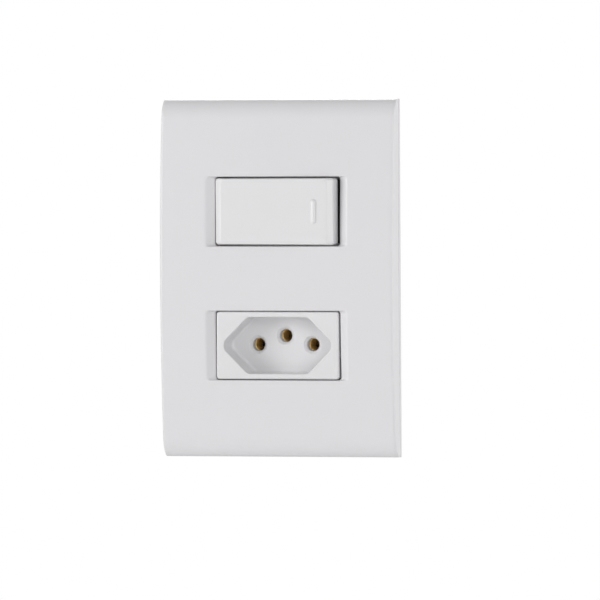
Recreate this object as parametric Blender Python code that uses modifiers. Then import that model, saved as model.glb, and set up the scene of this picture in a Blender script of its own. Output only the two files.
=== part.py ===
"""A wall switch and socket combination: one wide rocker switch above one hexagonal three-pin socket.

Metres, +Z up. The front faces -Y and the wall's surface is the plane Y = 0, with the origin at the
middle of the wall box's opening. Both modules hang in a three-bay support frame, whose middle bay is
left empty, and one cover plate with two windows closes the front.
"""

import math

import bmesh
import bpy
from mathutils import Matrix, Vector

# Clearances between pieces
SEAT_GAP = 0.0003
SHANK_GAP = 0.00035
SLIDE_GAP = 0.0004

# How far a cutter runs past the face that it opens, and how deep a joined shape is rooted
AHEAD = 0.001
ROOT = 0.0005

# Modules
MODULE_PITCH = 0.0225
FACE_WIDTH = 0.0421
FACE_GAP = 0.0002
FACE_LAP = 0.00025
WINDOW_GAP_X = 0.00088
WINDOW_GAP_Z = 0.00072
BODY_WALL = 0.0012
BODY_EDGE = 0.0006
BODY_BACK_Y = 0.0215
REAR_WALL_Y = 0.0176
REAR_WALL = 0.0014
EAR_REACH = 0.0014
EAR_LIP = 0.0004
EAR_THICK = 0.0012
HOOK_REACH = 0.0009
HOOK_HEIGHT = 0.0052
HOOK_DEEP = 0.0015
HOOK_LAND = 0.0005
FINGER_FRONT_Y = -0.0012
FINGER_BACK_Y = 0.0050
FINGER_SLIT = 0.0007
BARRIER_THICK = 0.0011

# Support frame
FRAME_BAYS = 3
FRAME_SIDE = 0.01295
FRAME_END = 0.01125
FRAME_THICK = 0.0024
FRAME_CORNER = 0.004
FRAME_RIM = 0.0012
FRAME_RIM_TALL = 0.0016
BAY_GAP = 0.0009
BAY_BAR = 0.0013
FRAME_RIB_SIDE = 0.0050
FRAME_RIB_THICK = 0.0010
FRAME_RIB_TALL = 0.0014
FRAME_RIB_INSET = 0.0090

# Mounting screws
SCREW_TO_BAY = 0.0080
SCREW_RADIUS = 0.00175
SCREW_LENGTH = 0.0250
SCREW_HEAD_LIP = 0.00175
SCREW_HEAD_TALL = 0.0020
SCREW_SLOT_TRAVEL = 0.0050
DRIVER_SLOT_WIDTH = 0.0009
DRIVER_SLOT_DEEP = 0.0009

# Cover plate
PLATE_SIDE_LAP = 0.00675
PLATE_END_LAP = 0.0071
PLATE_DEPTH = 0.0102
PLATE_BOW_RADIUS = 0.520
PLATE_END_RADIUS = 0.0062
PLATE_SIDE_RADIUS = 0.0011
PLATE_WALL = 0.0018
PLATE_BOW_STEPS = 12
SHADOW_GROOVE_Y = -0.0026
SHADOW_GROOVE_TALL = 0.0005
SHADOW_GROOVE_DEEP = 0.0004
DISH_DEPTH = 0.0021
DISH_REACH = 0.0029
COLLAR_WALL = 0.0014
COLLAR_DEPTH = 0.0018
TAB_X = 0.024
TAB_INSET = 0.0030
TAB_WIDTH = 0.0070
TAB_THICK = 0.0013
TAB_NOSE = 0.0009
TAB_NOSE_TALL = 0.0008
TAB_SET_BACK = 0.0004
RIB_SIDE = 0.0050
RIB_END = 0.0040
RIB_THICK = 0.0010
RIB_DEEP = 0.0024

# Rocker, drawn level and then tilted about its axis
ROCKER_AXIS_Y = 0.0
ROCKER_FACE_Y = -0.0102
ROCKER_GAP_X = 0.00073
ROCKER_END_SLOPE = 0.00225
ROCKER_END_DROP = 0.0030
ROCKER_EDGE = 0.0008
ROCKER_WALL = 0.0013
ROCKER_RIB_THICK = 0.0009
ROCKER_RIB_DEEP = 0.0014
ROCKER_RIB_X = 0.0105
ROCKER_THROW = math.radians(7.0)
ROCKER_MARK_X = 0.0141
ROCKER_MARK_WIDTH = 0.00225
ROCKER_MARK_LENGTH = 0.0085
ROCKER_MARK_TALL = 0.00035
PIVOT_RADIUS = 0.0016
PIVOT_ARM_WALL = 0.0018
PIVOT_ARM_THICK = 0.0013
PIVOT_SET_BACK = 0.0001
STEM_WALL = 0.00105
STEM_END_Y = 0.0040

# Plunger and its spring
PLUNGER_RADIUS = 0.00155
PLUNGER_TOP_Y = -0.0030
SPRING_WIRE = 0.000175
SPRING_INSET = 0.00025
SPRING_TURNS = 6
SPRING_STEPS_PER_TURN = 10

# Switch contacts
STRIP_THICK = 0.0009
STRIP_WIDTH = 0.0060
ARM_THICK = 0.0008
ARM_WIDTH = 0.0050
ARM_HALF_LENGTH = 0.0080
ARM_TROUGH_HALF = 0.0040
ARM_TROUGH_RISE = 0.00056
ARM_EDGE_Y = 0.0098
ARM_THROW = math.radians(12.0)
RIVET_X = 0.0062
RIVET_HEAD_RADIUS = 0.0015
RIVET_HEAD_TALL = 0.0008
RIVET_SHANK_RADIUS = 0.0007
RIVET_PEEN_RADIUS = 0.0012
RIVET_PEEN_TALL = 0.0004
KNEE_GAP = 0.0018
SWITCH_TERMINAL_X = 0.0125
STOP_BAR_X = 0.0070
STOP_BAR_SIZE = 0.0012
STOP_BAR_GAP = 0.0006
RAIL_THICK = 0.0010
RAIL_FRONT_Y = 0.0140

# Wire terminals
TERMINAL_WINDOW = 0.0074
CLAMP_GAP = 0.0004
CLAMP_THICK = 0.0011
TERMINAL_SCREW_RADIUS = 0.0015
TERMINAL_HEAD_LIP = 0.0012
TERMINAL_HEAD_TALL = 0.0018
TERMINAL_SCREW_REACH = 0.0030

# Socket
SOCKET_FACE_Y = -0.0085
SOCKET_FACE_CORNER = 0.0008
RECESS_WIDTH = 0.0375
RECESS_HEIGHT = 0.0190
RECESS_CORNER = 0.0030
RECESS_DEEP = 0.0096
FLOOR_THICK = 0.0015
FACE_EDGE = 0.0006
PIN_PITCH = 0.0190
EARTH_OFFSET = 0.0030
PIN_HOLE_RADIUS = 0.0022
PIN_LEAD = 0.00085
PIN_LEAD_DEEP = 0.0010
GUIDE_WALL = 0.0010
GUIDE_DEEP = 0.0030
SLEEVE_GRIP = 0.00015
SLEEVE_WALL = 0.00075
SLEEVE_LENGTH = 0.0065
SLEEVE_SLIT = 0.0007
SLEEVE_SLIT_LENGTH = 0.0045
SOCKET_TERMINAL_X = 0.0112
SOCKET_TERMINAL_Z = -0.0015
EARTH_TERMINAL_Z = 0.0030
CHAMBER_MARGIN = 0.00105
PARTITION = 0.0010
TONGUE_HEIGHT = 0.0060
TONGUE_THICK = 0.0012
TONGUE_SET_BACK = 0.0012

# Modules: sizes and places that follow
FACE_HEIGHT = MODULE_PITCH - FACE_GAP
BODY_WIDTH = FACE_WIDTH - 2 * FACE_LAP
BODY_HEIGHT = MODULE_PITCH - BAY_BAR - 2 * SEAT_GAP
WINDOW_HALF_X = FACE_WIDTH / 2 + WINDOW_GAP_X
WINDOW_HALF_Z = FACE_HEIGHT / 2 + WINDOW_GAP_Z
SWITCH_Z = MODULE_PITCH
SOCKET_Z = -MODULE_PITCH

# Frame and plate: sizes and places that follow
BAY_HALF_X = BODY_WIDTH / 2 + BAY_GAP
BAY_HALF_Z = BODY_HEIGHT / 2 + SEAT_GAP
SCREW_PITCH = FRAME_BAYS * MODULE_PITCH + 2 * SCREW_TO_BAY
SCREW_HEAD_RADIUS = SCREW_RADIUS + SCREW_HEAD_LIP
FRAME_WIDTH = FACE_WIDTH + 2 * FRAME_SIDE
FRAME_HEIGHT = SCREW_PITCH + 2 * FRAME_END
FRAME_FRONT_Y = -FRAME_THICK
EAR_BACK_Y = FRAME_FRONT_Y - SEAT_GAP
EAR_FRONT_Y = EAR_BACK_Y - EAR_THICK
PLATE_WIDTH = FRAME_WIDTH + 2 * PLATE_SIDE_LAP
PLATE_HEIGHT = FRAME_HEIGHT + 2 * PLATE_END_LAP
PLATE_INNER_Y = -PLATE_DEPTH + PLATE_WALL
COLLAR_HALF_X = WINDOW_HALF_X + DISH_REACH + COLLAR_WALL
COLLAR_HALF_Z = WINDOW_HALF_Z + COLLAR_WALL
TAB_Z = FRAME_HEIGHT / 2 - TAB_INSET

# Switch: sizes and places that follow
REST_TILT = -ROCKER_THROW / 2
REST_ARM = ARM_THROW / 2
ROCKER_HALF = WINDOW_HALF_X - ROCKER_GAP_X
ROCKER_BASE_Y = EAR_FRONT_Y - SEAT_GAP - ROCKER_HALF * math.sin(ROCKER_THROW / 2)
PIVOT_ARM_RADIUS = PIVOT_RADIUS + PIVOT_ARM_WALL
STEM_BORE = PLUNGER_RADIUS + SLIDE_GAP
STEM_RADIUS = STEM_BORE + STEM_WALL
SPRING_RADIUS = PLUNGER_RADIUS - SPRING_INSET
RIVET_REACH = (RIVET_X + RIVET_HEAD_RADIUS) * math.sin(ARM_THROW / 2)
FIXED_SHELF_Y = ARM_EDGE_Y - ARM_TROUGH_RISE + RIVET_REACH + 2 * RIVET_HEAD_TALL + 3 * SEAT_GAP

# Terminals and socket: sizes and places that follow
CLAMP_SIZE = TERMINAL_WINDOW - 2 * CLAMP_GAP
TAIL_HALF = TERMINAL_WINDOW / 2 + SEAT_GAP
TERMINAL_HEAD_RADIUS = TERMINAL_SCREW_RADIUS + TERMINAL_HEAD_LIP
TAIL_Y = REAR_WALL_Y - SEAT_GAP - STRIP_THICK / 2
CLAMP_Y = TAIL_Y + STRIP_THICK / 2 + SEAT_GAP
TERMINAL_HEAD_Y = CLAMP_Y + CLAMP_THICK + SEAT_GAP
PIN_LEAD_RADIUS = PIN_HOLE_RADIUS + PIN_LEAD
SLEEVE_BORE = PIN_HOLE_RADIUS - SLEEVE_GRIP
SLEEVE_RADIUS = SLEEVE_BORE + SLEEVE_WALL
CHAMBER_HALF = TERMINAL_WINDOW / 2 + CHAMBER_MARGIN
SOCKET_FLOOR_Y = SOCKET_FACE_Y + RECESS_DEEP
SOCKET_SPLIT_Y = SOCKET_FLOOR_Y + FLOOR_THICK
GUIDE_END_Y = SOCKET_SPLIT_Y + GUIDE_DEEP

# Colours as linear red, green and blue, then roughness and metallic value
WHITE_PLASTIC = ((0.78, 0.78, 0.78), 0.42, 0.0)
WHITE_GLOSS = ((0.82, 0.82, 0.82), 0.28, 0.0)
GREY_PLASTIC = ((0.09, 0.09, 0.095), 0.55, 0.0)
BRASS = ((0.72, 0.48, 0.18), 0.30, 1.0)
COPPER = ((0.75, 0.40, 0.27), 0.32, 1.0)
SILVER = ((0.86, 0.85, 0.82), 0.25, 1.0)
STEEL = ((0.60, 0.60, 0.58), 0.35, 1.0)

# An outline drawn in (u, v) and pushed along w takes these world directions
PLANES = {
    "X": (Vector((0, 1, 0)), Vector((0, 0, 1)), Vector((1, 0, 0))),
    "Y": (Vector((0, 0, 1)), Vector((1, 0, 0)), Vector((0, 1, 0))),
    "Z": (Vector((1, 0, 0)), Vector((0, 1, 0)), Vector((0, 0, 1))),
}


def clear_scene():
    for old in list(bpy.data.objects):
        bpy.data.objects.remove(old, do_unlink=True)


def collection(name, hidden=False):
    made = bpy.data.collections.new(name)
    bpy.context.scene.collection.children.link(made)
    made.hide_render = hidden
    return made


def finish(piece, name, look):
    """Names a finished piece, gives it its own material and moves it to the object's collection."""
    colour, roughness, metallic = look
    material = bpy.data.materials.new(name)
    material.use_nodes = True
    shader = material.node_tree.nodes["Principled BSDF"]
    shader.inputs["Base Color"].default_value = (*colour, 1.0)
    shader.inputs["Roughness"].default_value = roughness
    shader.inputs["Metallic"].default_value = metallic
    material.diffuse_color = (*colour, 1.0)
    piece.name = name
    piece.data.materials.clear()
    piece.data.materials.append(material)
    piece.data.shade_smooth()
    piece.data.set_sharp_from_angle(angle=math.radians(30))
    TOOLS.objects.unlink(piece)
    PARTS.objects.link(piece)
    piece.hide_render = False
    piece.display_type = "TEXTURED"
    return piece


def tool_object(mesh):
    """Every shape starts as a hidden tool, and only a finished piece leaves that collection."""
    made = bpy.data.objects.new("shape", mesh)
    made.hide_render = True
    made.display_type = "WIRE"
    TOOLS.objects.link(made)
    return made


def mesh_of(bm):
    bmesh.ops.recalc_face_normals(bm, faces=bm.faces[:])
    mesh = bpy.data.meshes.new("shape")
    bm.to_mesh(mesh)
    bm.free()
    return mesh


def welded(mesh):
    """The same mesh with its doubled points merged and every face turned out."""
    bm = bmesh.new()
    bm.from_mesh(mesh)
    bmesh.ops.remove_doubles(bm, verts=bm.verts[:], dist=1e-6)
    return mesh_of(bm)


def block(low, high):
    bm = bmesh.new()
    bmesh.ops.create_cube(bm, size=1.0)
    low, high = Vector(low), Vector(high)
    middle = (low + high) / 2
    size = high - low
    for vertex in bm.verts:
        vertex.co = Vector(middle[i] + vertex.co[i] * size[i] for i in range(3))
    return tool_object(mesh_of(bm))


def centred_block(x, y_range, z, width, height):
    """A block centred on x and z, from the first to the second y."""
    low = (x - width / 2, y_range[0], z - height / 2)
    high = (x + width / 2, y_range[1], z + height / 2)
    return block(low, high)


def rod(start, end, radius, segments=24, end_radius=None):
    start, end = Vector(start), Vector(end)
    axis = end - start
    bm = bmesh.new()
    turn = Vector((0, 0, 1)).rotation_difference(axis).to_matrix().to_4x4()
    bmesh.ops.create_cone(
        bm,
        cap_ends=True,
        segments=segments,
        radius1=radius,
        radius2=radius if end_radius is None else end_radius,
        depth=axis.length,
        matrix=Matrix.Translation((start + end) / 2) @ turn,
    )
    return tool_object(mesh_of(bm))


def prism(outline, low, high, axis):
    """A flat outline pushed along one axis, from low to high."""
    u, v, w = PLANES[axis]
    curve = bpy.data.curves.new("outline", "CURVE")
    curve.dimensions = "2D"
    curve.fill_mode = "BOTH"
    curve.extrude = (high - low) / 2
    spline = curve.splines.new("POLY")
    spline.points.add(len(outline) - 1)
    for point, (a, b) in zip(spline.points, outline):
        point.co = (a, b, 0, 1)
    spline.use_cyclic_u = True
    guide = bpy.data.objects.new("outline", curve)
    TOOLS.objects.link(guide)
    middle = w * (low + high) / 2
    guide.matrix_world = Matrix((u, v, w)).transposed().to_4x4()
    guide.matrix_world.translation = middle
    bpy.context.view_layer.update()
    solid = mesh_from(guide)
    solid.transform(guide.matrix_world)
    bpy.data.objects.remove(guide)
    return tool_object(welded(solid))


def turned(profile, centre, segments=24):
    """A profile of (radius, y) points turned about the line through centre that runs along Y."""
    mesh = bpy.data.meshes.new("profile")
    points = [(radius, 0.0, -y) for radius, y in profile]
    mesh.from_pydata(points, [(i, i + 1) for i in range(len(points) - 1)], [])
    made = tool_object(mesh)
    made.rotation_euler = (math.radians(90), 0, 0)
    made.location = (centre[0], 0, centre[1])
    screw = made.modifiers.new("turn", "SCREW")
    screw.axis = "Z"
    screw.steps = segments
    screw.render_steps = segments
    screw.use_merge_vertices = True
    screw.merge_threshold = 1e-6
    bake(made)
    made.data.transform(made.matrix_world)
    made.matrix_world = Matrix.Identity(4)
    made.data = welded(made.data)
    return made


def folded_strip(path, low, high, axis, thickness):
    """A strip of sheet metal: an open surface along the path, thickened evenly on both sides."""
    u, v, w = PLANES[axis]
    bm = bmesh.new()
    row = [bm.verts.new(u * a + v * b + w * low) for a, b in path]
    edges = [bm.edges.new(pair) for pair in zip(row, row[1:])]
    pushed = bmesh.ops.extrude_edge_only(bm, edges=edges)["geom"]
    moved = [item for item in pushed if isinstance(item, bmesh.types.BMVert)]
    bmesh.ops.translate(bm, verts=moved, vec=w * (high - low))
    made = tool_object(mesh_of(bm))
    solidify = made.modifiers.new("sheet", "SOLIDIFY")
    solidify.thickness = thickness
    solidify.offset = 0.0
    solidify.use_even_offset = True
    bake(made)
    return made


def mesh_from(piece):
    graph = bpy.context.evaluated_depsgraph_get()
    return bpy.data.meshes.new_from_object(piece.evaluated_get(graph))


def bake(piece):
    """Makes a piece's modifiers part of its mesh."""
    bpy.context.view_layer.update()
    mesh = mesh_from(piece)
    piece.modifiers.clear()
    piece.data = mesh


def combine(piece, operation, tools):
    for number, tool in enumerate(tools):
        change = piece.modifiers.new(f"{operation.lower()}_{number}", "BOOLEAN")
        change.operation = operation
        change.solver = "EXACT"
        change.object = tool
    bake(piece)
    for tool in tools:
        bpy.data.objects.remove(tool, do_unlink=True)
    return piece


def join(piece, *tools):
    return combine(piece, "UNION", tools)


def cut(piece, *tools):
    return combine(piece, "DIFFERENCE", tools)


def bevel_edges(piece, chosen, radius, segments):
    """Rounds the edges whose two ends both pass the test."""
    bm = bmesh.new()
    bm.from_mesh(piece.data)
    edges = [edge for edge in bm.edges if chosen(edge.verts[0].co, edge.verts[1].co)]
    bmesh.ops.bevel(
        bm, geom=edges, offset=radius, segments=segments, profile=0.5, affect="EDGES", clamp_overlap=True
    )
    old = piece.data
    piece.data = mesh_of(bm)
    bpy.data.meshes.remove(old)
    return piece


def near(a, b):
    return abs(a - b) < 1e-6


def rounded(corners, steps=4):
    """An outline of (u, v, radius) corners, each rounded by an arc of that radius."""
    outline = []
    for i, (u, v, radius) in enumerate(corners):
        here = Vector((u, v))
        before = Vector(corners[i - 1][:2]) - here
        after = Vector(corners[(i + 1) % len(corners)][:2]) - here
        if radius == 0:
            outline.append((u, v))
            continue
        half = before.angle(after) / 2
        reach = radius / math.tan(half)
        start = here + before.normalized() * reach
        end = here + after.normalized() * reach
        centre = here + (before.normalized() + after.normalized()).normalized() * radius / math.sin(half)
        first, last = start - centre, end - centre
        sweep = first.angle_signed(last)
        for step in range(steps + 1):
            arm = first.copy()
            arm.rotate(Matrix.Rotation(-sweep * step / steps, 2))
            outline.append(tuple(centre + arm))
    return outline


def rectangle(half_u, half_v, radius, centre=(0.0, 0.0)):
    signs = ((-1, -1), (1, -1), (1, 1), (-1, 1))
    return rounded([(centre[0] + a * half_u, centre[1] + b * half_v, radius) for a, b in signs])


def plate_shell(inset, front_y, back_y):
    """A block the size of the plate less an inset, with round ends and round front edges."""
    half_x = PLATE_WIDTH / 2 - inset
    half_z = PLATE_HEIGHT / 2 - inset
    shell = block((-half_x, front_y, -half_z), (half_x, back_y, half_z))

    def end_edge(a, b):
        return near(a.y, front_y) and near(b.y, front_y) and near(a.z, b.z)

    def side_edge(a, b):
        on_side = near(abs(a.x), half_x) and near(a.x, b.x)
        return on_side and not (near(a.y, back_y) and near(b.y, back_y))

    bevel_edges(shell, end_edge, PLATE_END_RADIUS - inset, 8)
    return bevel_edges(shell, side_edge, PLATE_SIDE_RADIUS - inset / 2, 3)


def bow(piece):
    """Crowns the plate: its depth falls off from mid height towards both ends."""
    bm = bmesh.new()
    bm.from_mesh(piece.data)
    for step in range(1, PLATE_BOW_STEPS):
        z = PLATE_HEIGHT * (step / PLATE_BOW_STEPS - 0.5)
        whole = bm.verts[:] + bm.edges[:] + bm.faces[:]
        bmesh.ops.bisect_plane(bm, geom=whole, plane_co=(0, 0, z), plane_no=(0, 0, 1), dist=1e-7)
    for vertex in bm.verts:
        vertex.co.y *= bow_share(vertex.co.z)
    piece.data = mesh_of(bm)
    return piece


def bow_share(z):
    return 1 - z * z / (2 * PLATE_BOW_RADIUS) / PLATE_DEPTH


def window_cutter(z):
    """One window: straight through, with its two short sides dished out to the front."""
    front = -PLATE_DEPTH
    spread = DISH_REACH / DISH_DEPTH
    wide = WINDOW_HALF_X + DISH_REACH + spread * AHEAD
    half = [(WINDOW_HALF_X, AHEAD), (WINDOW_HALF_X, front + DISH_DEPTH), (wide, front - AHEAD)]
    outline = half + [(-x, y) for x, y in reversed(half)]
    return prism(outline, z - WINDOW_HALF_Z, z + WINDOW_HALF_Z, "Z")


def window_collar(z):
    """A block round one window, before the window is cut through it."""
    depths = (PLATE_INNER_Y - ROOT, PLATE_INNER_Y + COLLAR_DEPTH)
    return centred_block(0.0, depths, z, 2 * COLLAR_HALF_X, 2 * COLLAR_HALF_Z)


def window_skirts(z):
    """The walls above and below one window, which reach back almost to the support frame.

    The plate is bowed after they join it, so their ends are drawn that much further back.
    """
    skirts = []
    for side in (-1, 1):
        end_y = (FRAME_FRONT_Y - SEAT_GAP) / bow_share(z + side * COLLAR_HALF_Z)
        middle = z + side * (WINDOW_HALF_Z + COLLAR_WALL / 2)
        skirts.append(centred_block(0.0, (PLATE_INNER_Y, end_y), middle, 2 * COLLAR_HALF_X, COLLAR_WALL))
    return skirts


def plate_tab(side_x, side_z):
    """A snap tab inside the plate, with its nose behind the support frame's slot."""
    x = side_x * TAB_X
    near_face = side_z * TAB_Z
    far_face = side_z * (TAB_Z + TAB_THICK)
    nose_face = side_z * (TAB_Z + TAB_THICK + TAB_NOSE)
    low, high = sorted((near_face, far_face))
    root_y = PLATE_INNER_Y - ROOT
    stalk = block((x - TAB_WIDTH / 2, root_y, low), (x + TAB_WIDTH / 2, -TAB_SET_BACK, high))
    low, high = sorted((near_face, nose_face))
    nose_y = -TAB_SET_BACK - TAB_NOSE_TALL
    nose = block((x - TAB_WIDTH / 2, nose_y, low), (x + TAB_WIDTH / 2, -TAB_SET_BACK, high))
    return join(stalk, nose)


def plate_ribs():
    """A stiffening rib down each side of the plate's inside."""
    x = COLLAR_HALF_X + RIB_SIDE
    depths = (PLATE_INNER_Y - ROOT, PLATE_INNER_Y - ROOT + RIB_DEEP)
    height = 2 * (TAB_Z - RIB_END)
    return [centred_block(side * x, depths, 0.0, RIB_THICK, height) for side in (-1, 1)]


def shadow_grooves():
    """A fine groove down each long side of the plate."""
    depths = (SHADOW_GROOVE_Y, SHADOW_GROOVE_Y + SHADOW_GROOVE_TALL)
    width, height = 2 * SHADOW_GROOVE_DEEP, PLATE_HEIGHT + 2 * AHEAD
    return [centred_block(side * PLATE_WIDTH / 2, depths, 0.0, width, height) for side in (-1, 1)]


def cover_plate():
    plate = plate_shell(0.0, -PLATE_DEPTH, 0.0)
    cut(plate, plate_shell(PLATE_WALL, PLATE_INNER_Y, 2 * AHEAD))
    join(plate, window_collar(SWITCH_Z), window_collar(SOCKET_Z))
    cut(plate, window_cutter(SWITCH_Z), window_cutter(SOCKET_Z))
    join(plate, *window_skirts(SWITCH_Z), *window_skirts(SOCKET_Z))
    tabs = [plate_tab(a, b) for a in (-1, 1) for b in (-1, 1)]
    join(plate, *tabs, *plate_ribs())
    cut(plate, *shadow_grooves())
    return finish(bow(plate), "cover_plate", WHITE_PLASTIC)


def support_frame():
    half_x, half_z = FRAME_WIDTH / 2, FRAME_HEIGHT / 2
    outline = rectangle(half_z, half_x, FRAME_CORNER)
    frame = prism(outline, FRAME_FRONT_Y - FRAME_RIM_TALL, 0.0, "Y")
    inside = rectangle(half_z - FRAME_RIM, half_x - FRAME_RIM, FRAME_CORNER - FRAME_RIM)
    dish = prism(inside, FRAME_FRONT_Y - 2 * FRAME_RIM_TALL, FRAME_FRONT_Y, "Y")
    cut(frame, dish, *frame_bays(), *screw_slots(), *tab_slots())
    join(frame, *frame_ribs())
    return finish(frame, "support_frame", WHITE_PLASTIC)


def frame_ribs():
    """A stiffening rib on the frame's front, down each side of the bays."""
    x = BAY_HALF_X + FRAME_RIB_SIDE + FRAME_RIB_THICK / 2
    depths = (FRAME_FRONT_Y - FRAME_RIB_TALL, FRAME_FRONT_Y + ROOT)
    height = FRAME_HEIGHT - 2 * FRAME_RIB_INSET
    return [centred_block(side * x, depths, 0.0, FRAME_RIB_THICK, height) for side in (-1, 1)]


def frame_bays():
    """One opening for each module place, with a bar left between each two."""
    bays = []
    for number in range(FRAME_BAYS):
        z = (number - (FRAME_BAYS - 1) / 2) * MODULE_PITCH
        outline = rectangle(BAY_HALF_Z, BAY_HALF_X, BODY_EDGE, (z, 0.0))
        bays.append(prism(outline, FRAME_FRONT_Y - AHEAD, AHEAD, "Y"))
    return bays


def screw_slots():
    radius = SCREW_RADIUS + SHANK_GAP
    slots = []
    for side in (-1, 1):
        centre = (side * SCREW_PITCH / 2, 0.0)
        outline = rectangle(radius, SCREW_SLOT_TRAVEL / 2 + radius, radius * 0.999, centre)
        slots.append(prism(outline, FRAME_FRONT_Y - AHEAD, AHEAD, "Y"))
    return slots


def tab_slots():
    """A slot for each plate tab, with a pocket behind it for the tab's nose."""
    slots = []
    width = TAB_WIDTH / 2 + 2 * SEAT_GAP
    pocket_y = -TAB_SET_BACK - TAB_NOSE_TALL - SEAT_GAP
    near_face = TAB_Z - SEAT_GAP
    slot_face = TAB_Z + TAB_THICK + SEAT_GAP
    for side_x in (-1, 1):
        for side_z in (-1, 1):
            x = side_x * TAB_X
            low, high = sorted((side_z * near_face, side_z * slot_face))
            slots.append(block((x - width, FRAME_FRONT_Y - AHEAD, low), (x + width, AHEAD, high)))
            low, high = sorted((side_z * near_face, side_z * (slot_face + TAB_NOSE)))
            slots.append(block((x - width, pocket_y, low), (x + width, AHEAD, high)))
    return slots


def slotted_screw(centre, head_y, head_tall, head_radius, radius, tip_y, front):
    """A pan-head screw along Y. front is -1 if its head faces the room, and +1 if it faces the box."""
    crown = head_radius * 0.72
    shoulder = head_y + front * head_tall
    profile = [
        (0.0, shoulder),
        (crown, shoulder),
        (head_radius, head_y + front * head_tall * 0.55),
        (head_radius, head_y),
        (radius, head_y),
        (radius, tip_y + front * radius * 0.6),
        (0.0, tip_y),
    ]
    screw = turned(profile, centre, 20)
    slot_y = sorted((shoulder + front * AHEAD, shoulder - front * DRIVER_SLOT_DEEP))
    slot = centred_block(centre[0], slot_y, centre[1], 2.4 * head_radius, DRIVER_SLOT_WIDTH)
    return cut(screw, slot)


def mounting_screws():
    head_y = FRAME_FRONT_Y - SEAT_GAP
    for name, side in (("mounting_screw_upper", 1), ("mounting_screw_lower", -1)):
        screw = slotted_screw(
            (0.0, side * SCREW_PITCH / 2),
            head_y,
            SCREW_HEAD_TALL,
            SCREW_HEAD_RADIUS,
            SCREW_RADIUS,
            head_y + SCREW_LENGTH,
            -1,
        )
        finish(screw, name, STEEL)


def ears(z):
    """The two ears by which a module rests on the front of the frame."""
    width = 2 * (BAY_HALF_X + EAR_REACH)
    height = BODY_HEIGHT + 2 * EAR_LIP
    return centred_block(0.0, (EAR_FRONT_Y, EAR_BACK_Y), z, width, height)


def hook(side, z):
    """A snap hook that catches behind the frame, with a slope on its rear."""
    wall = side * (BODY_WIDTH / 2 - BODY_WALL / 2)
    tip = side * (BAY_HALF_X + HOOK_REACH)
    outline = [
        (wall, SEAT_GAP),
        (tip, SEAT_GAP),
        (tip, SEAT_GAP + HOOK_LAND),
        (wall, SEAT_GAP + HOOK_DEEP),
    ]
    return prism(outline, z - HOOK_HEIGHT / 2, z + HOOK_HEIGHT / 2, "Z")


def rear_cutters(z, windows):
    """The recess behind the rear wall and one square window for each terminal."""
    half_x = BODY_WIDTH / 2 - BODY_WALL
    half_z = BODY_HEIGHT / 2 - BODY_WALL
    rear = (REAR_WALL_Y + REAR_WALL, BODY_BACK_Y + AHEAD)
    recess = centred_block(0.0, rear, z, 2 * half_x, 2 * half_z)
    return [recess, *[terminal_window(x, z + dz) for x, dz in windows]]


def terminal_window(x, z):
    depths = (REAR_WALL_Y - AHEAD, BODY_BACK_Y)
    return centred_block(x, depths, z, TERMINAL_WINDOW, TERMINAL_WINDOW)


def body_box(z, front_y, back_y=BODY_BACK_Y):
    half_x, half_z = BODY_WIDTH / 2, BODY_HEIGHT / 2
    box = block((-half_x, front_y, z - half_z), (half_x, back_y, z + half_z))

    def long_edge(a, b):
        return near(a.x, b.x) and near(a.z, b.z)

    return bevel_edges(box, long_edge, BODY_EDGE, 2)


def switch_housing():
    z = SWITCH_Z
    half_x = BODY_WIDTH / 2 - BODY_WALL
    half_z = BODY_HEIGHT / 2 - BODY_WALL
    housing = body_box(z, EAR_FRONT_Y)
    join(housing, ears(z), hook(-1, z), hook(1, z))
    hollow = centred_block(0.0, (EAR_FRONT_Y - AHEAD, REAR_WALL_Y), z, 2 * half_x, 2 * half_z)
    cut(housing, hollow)
    bearing = PIVOT_RADIUS + SHANK_GAP
    bore = rod((0, ROCKER_AXIS_Y, z - BODY_HEIGHT), (0, ROCKER_AXIS_Y, z + BODY_HEIGHT), bearing)
    windows = [(-SWITCH_TERMINAL_X, 0.0), (SWITCH_TERMINAL_X, 0.0)]
    cut(housing, bore, *finger_slits(z), *rear_cutters(z, windows))
    stop_y = ARM_EDGE_Y + STOP_BAR_GAP
    stop_depths = (stop_y, stop_y + STOP_BAR_SIZE)
    stop = centred_block(STOP_BAR_X, stop_depths, z, STOP_BAR_SIZE, 2 * (half_z + ROOT))
    rail_z = TAIL_HALF + RAIL_THICK / 2
    rail_depths = (RAIL_FRONT_Y, REAR_WALL_Y + ROOT)
    rails = [
        centred_block(0.0, rail_depths, z + side * rail_z, 2 * (half_x + ROOT), RAIL_THICK)
        for side in (-1, 1)
    ]
    barrier_depths = (REAR_WALL_Y + REAR_WALL - ROOT, BODY_BACK_Y - ROOT)
    barrier = centred_block(0.0, barrier_depths, z, BARRIER_THICK, 2 * (half_z + ROOT))
    join(housing, stop, *rails, barrier)
    return finish(housing, "switch_housing", GREY_PLASTIC)


def finger_slits(z):
    """A slit round each hook, which leaves it on a springy finger of the housing's wall."""
    inner = HOOK_HEIGHT / 2 + SEAT_GAP
    outer = inner + FINGER_SLIT
    end = FINGER_BACK_Y - FINGER_SLIT
    inside = [(FINGER_FRONT_Y, inner), (end, inner), (end, -inner), (FINGER_FRONT_Y, -inner)]
    outside = [(FINGER_FRONT_Y, -outer), (FINGER_BACK_Y, -outer)]
    outside += [(FINGER_BACK_Y, outer), (FINGER_FRONT_Y, outer)]
    outline = [(y, z + dz) for y, dz in inside + outside]
    wall = BODY_WIDTH / 2 - BODY_WALL
    return [
        prism(outline, wall - ROOT, wall + BODY_WALL + ROOT, "X"),
        prism(outline, -wall - BODY_WALL - ROOT, -wall + ROOT, "X"),
    ]


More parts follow.
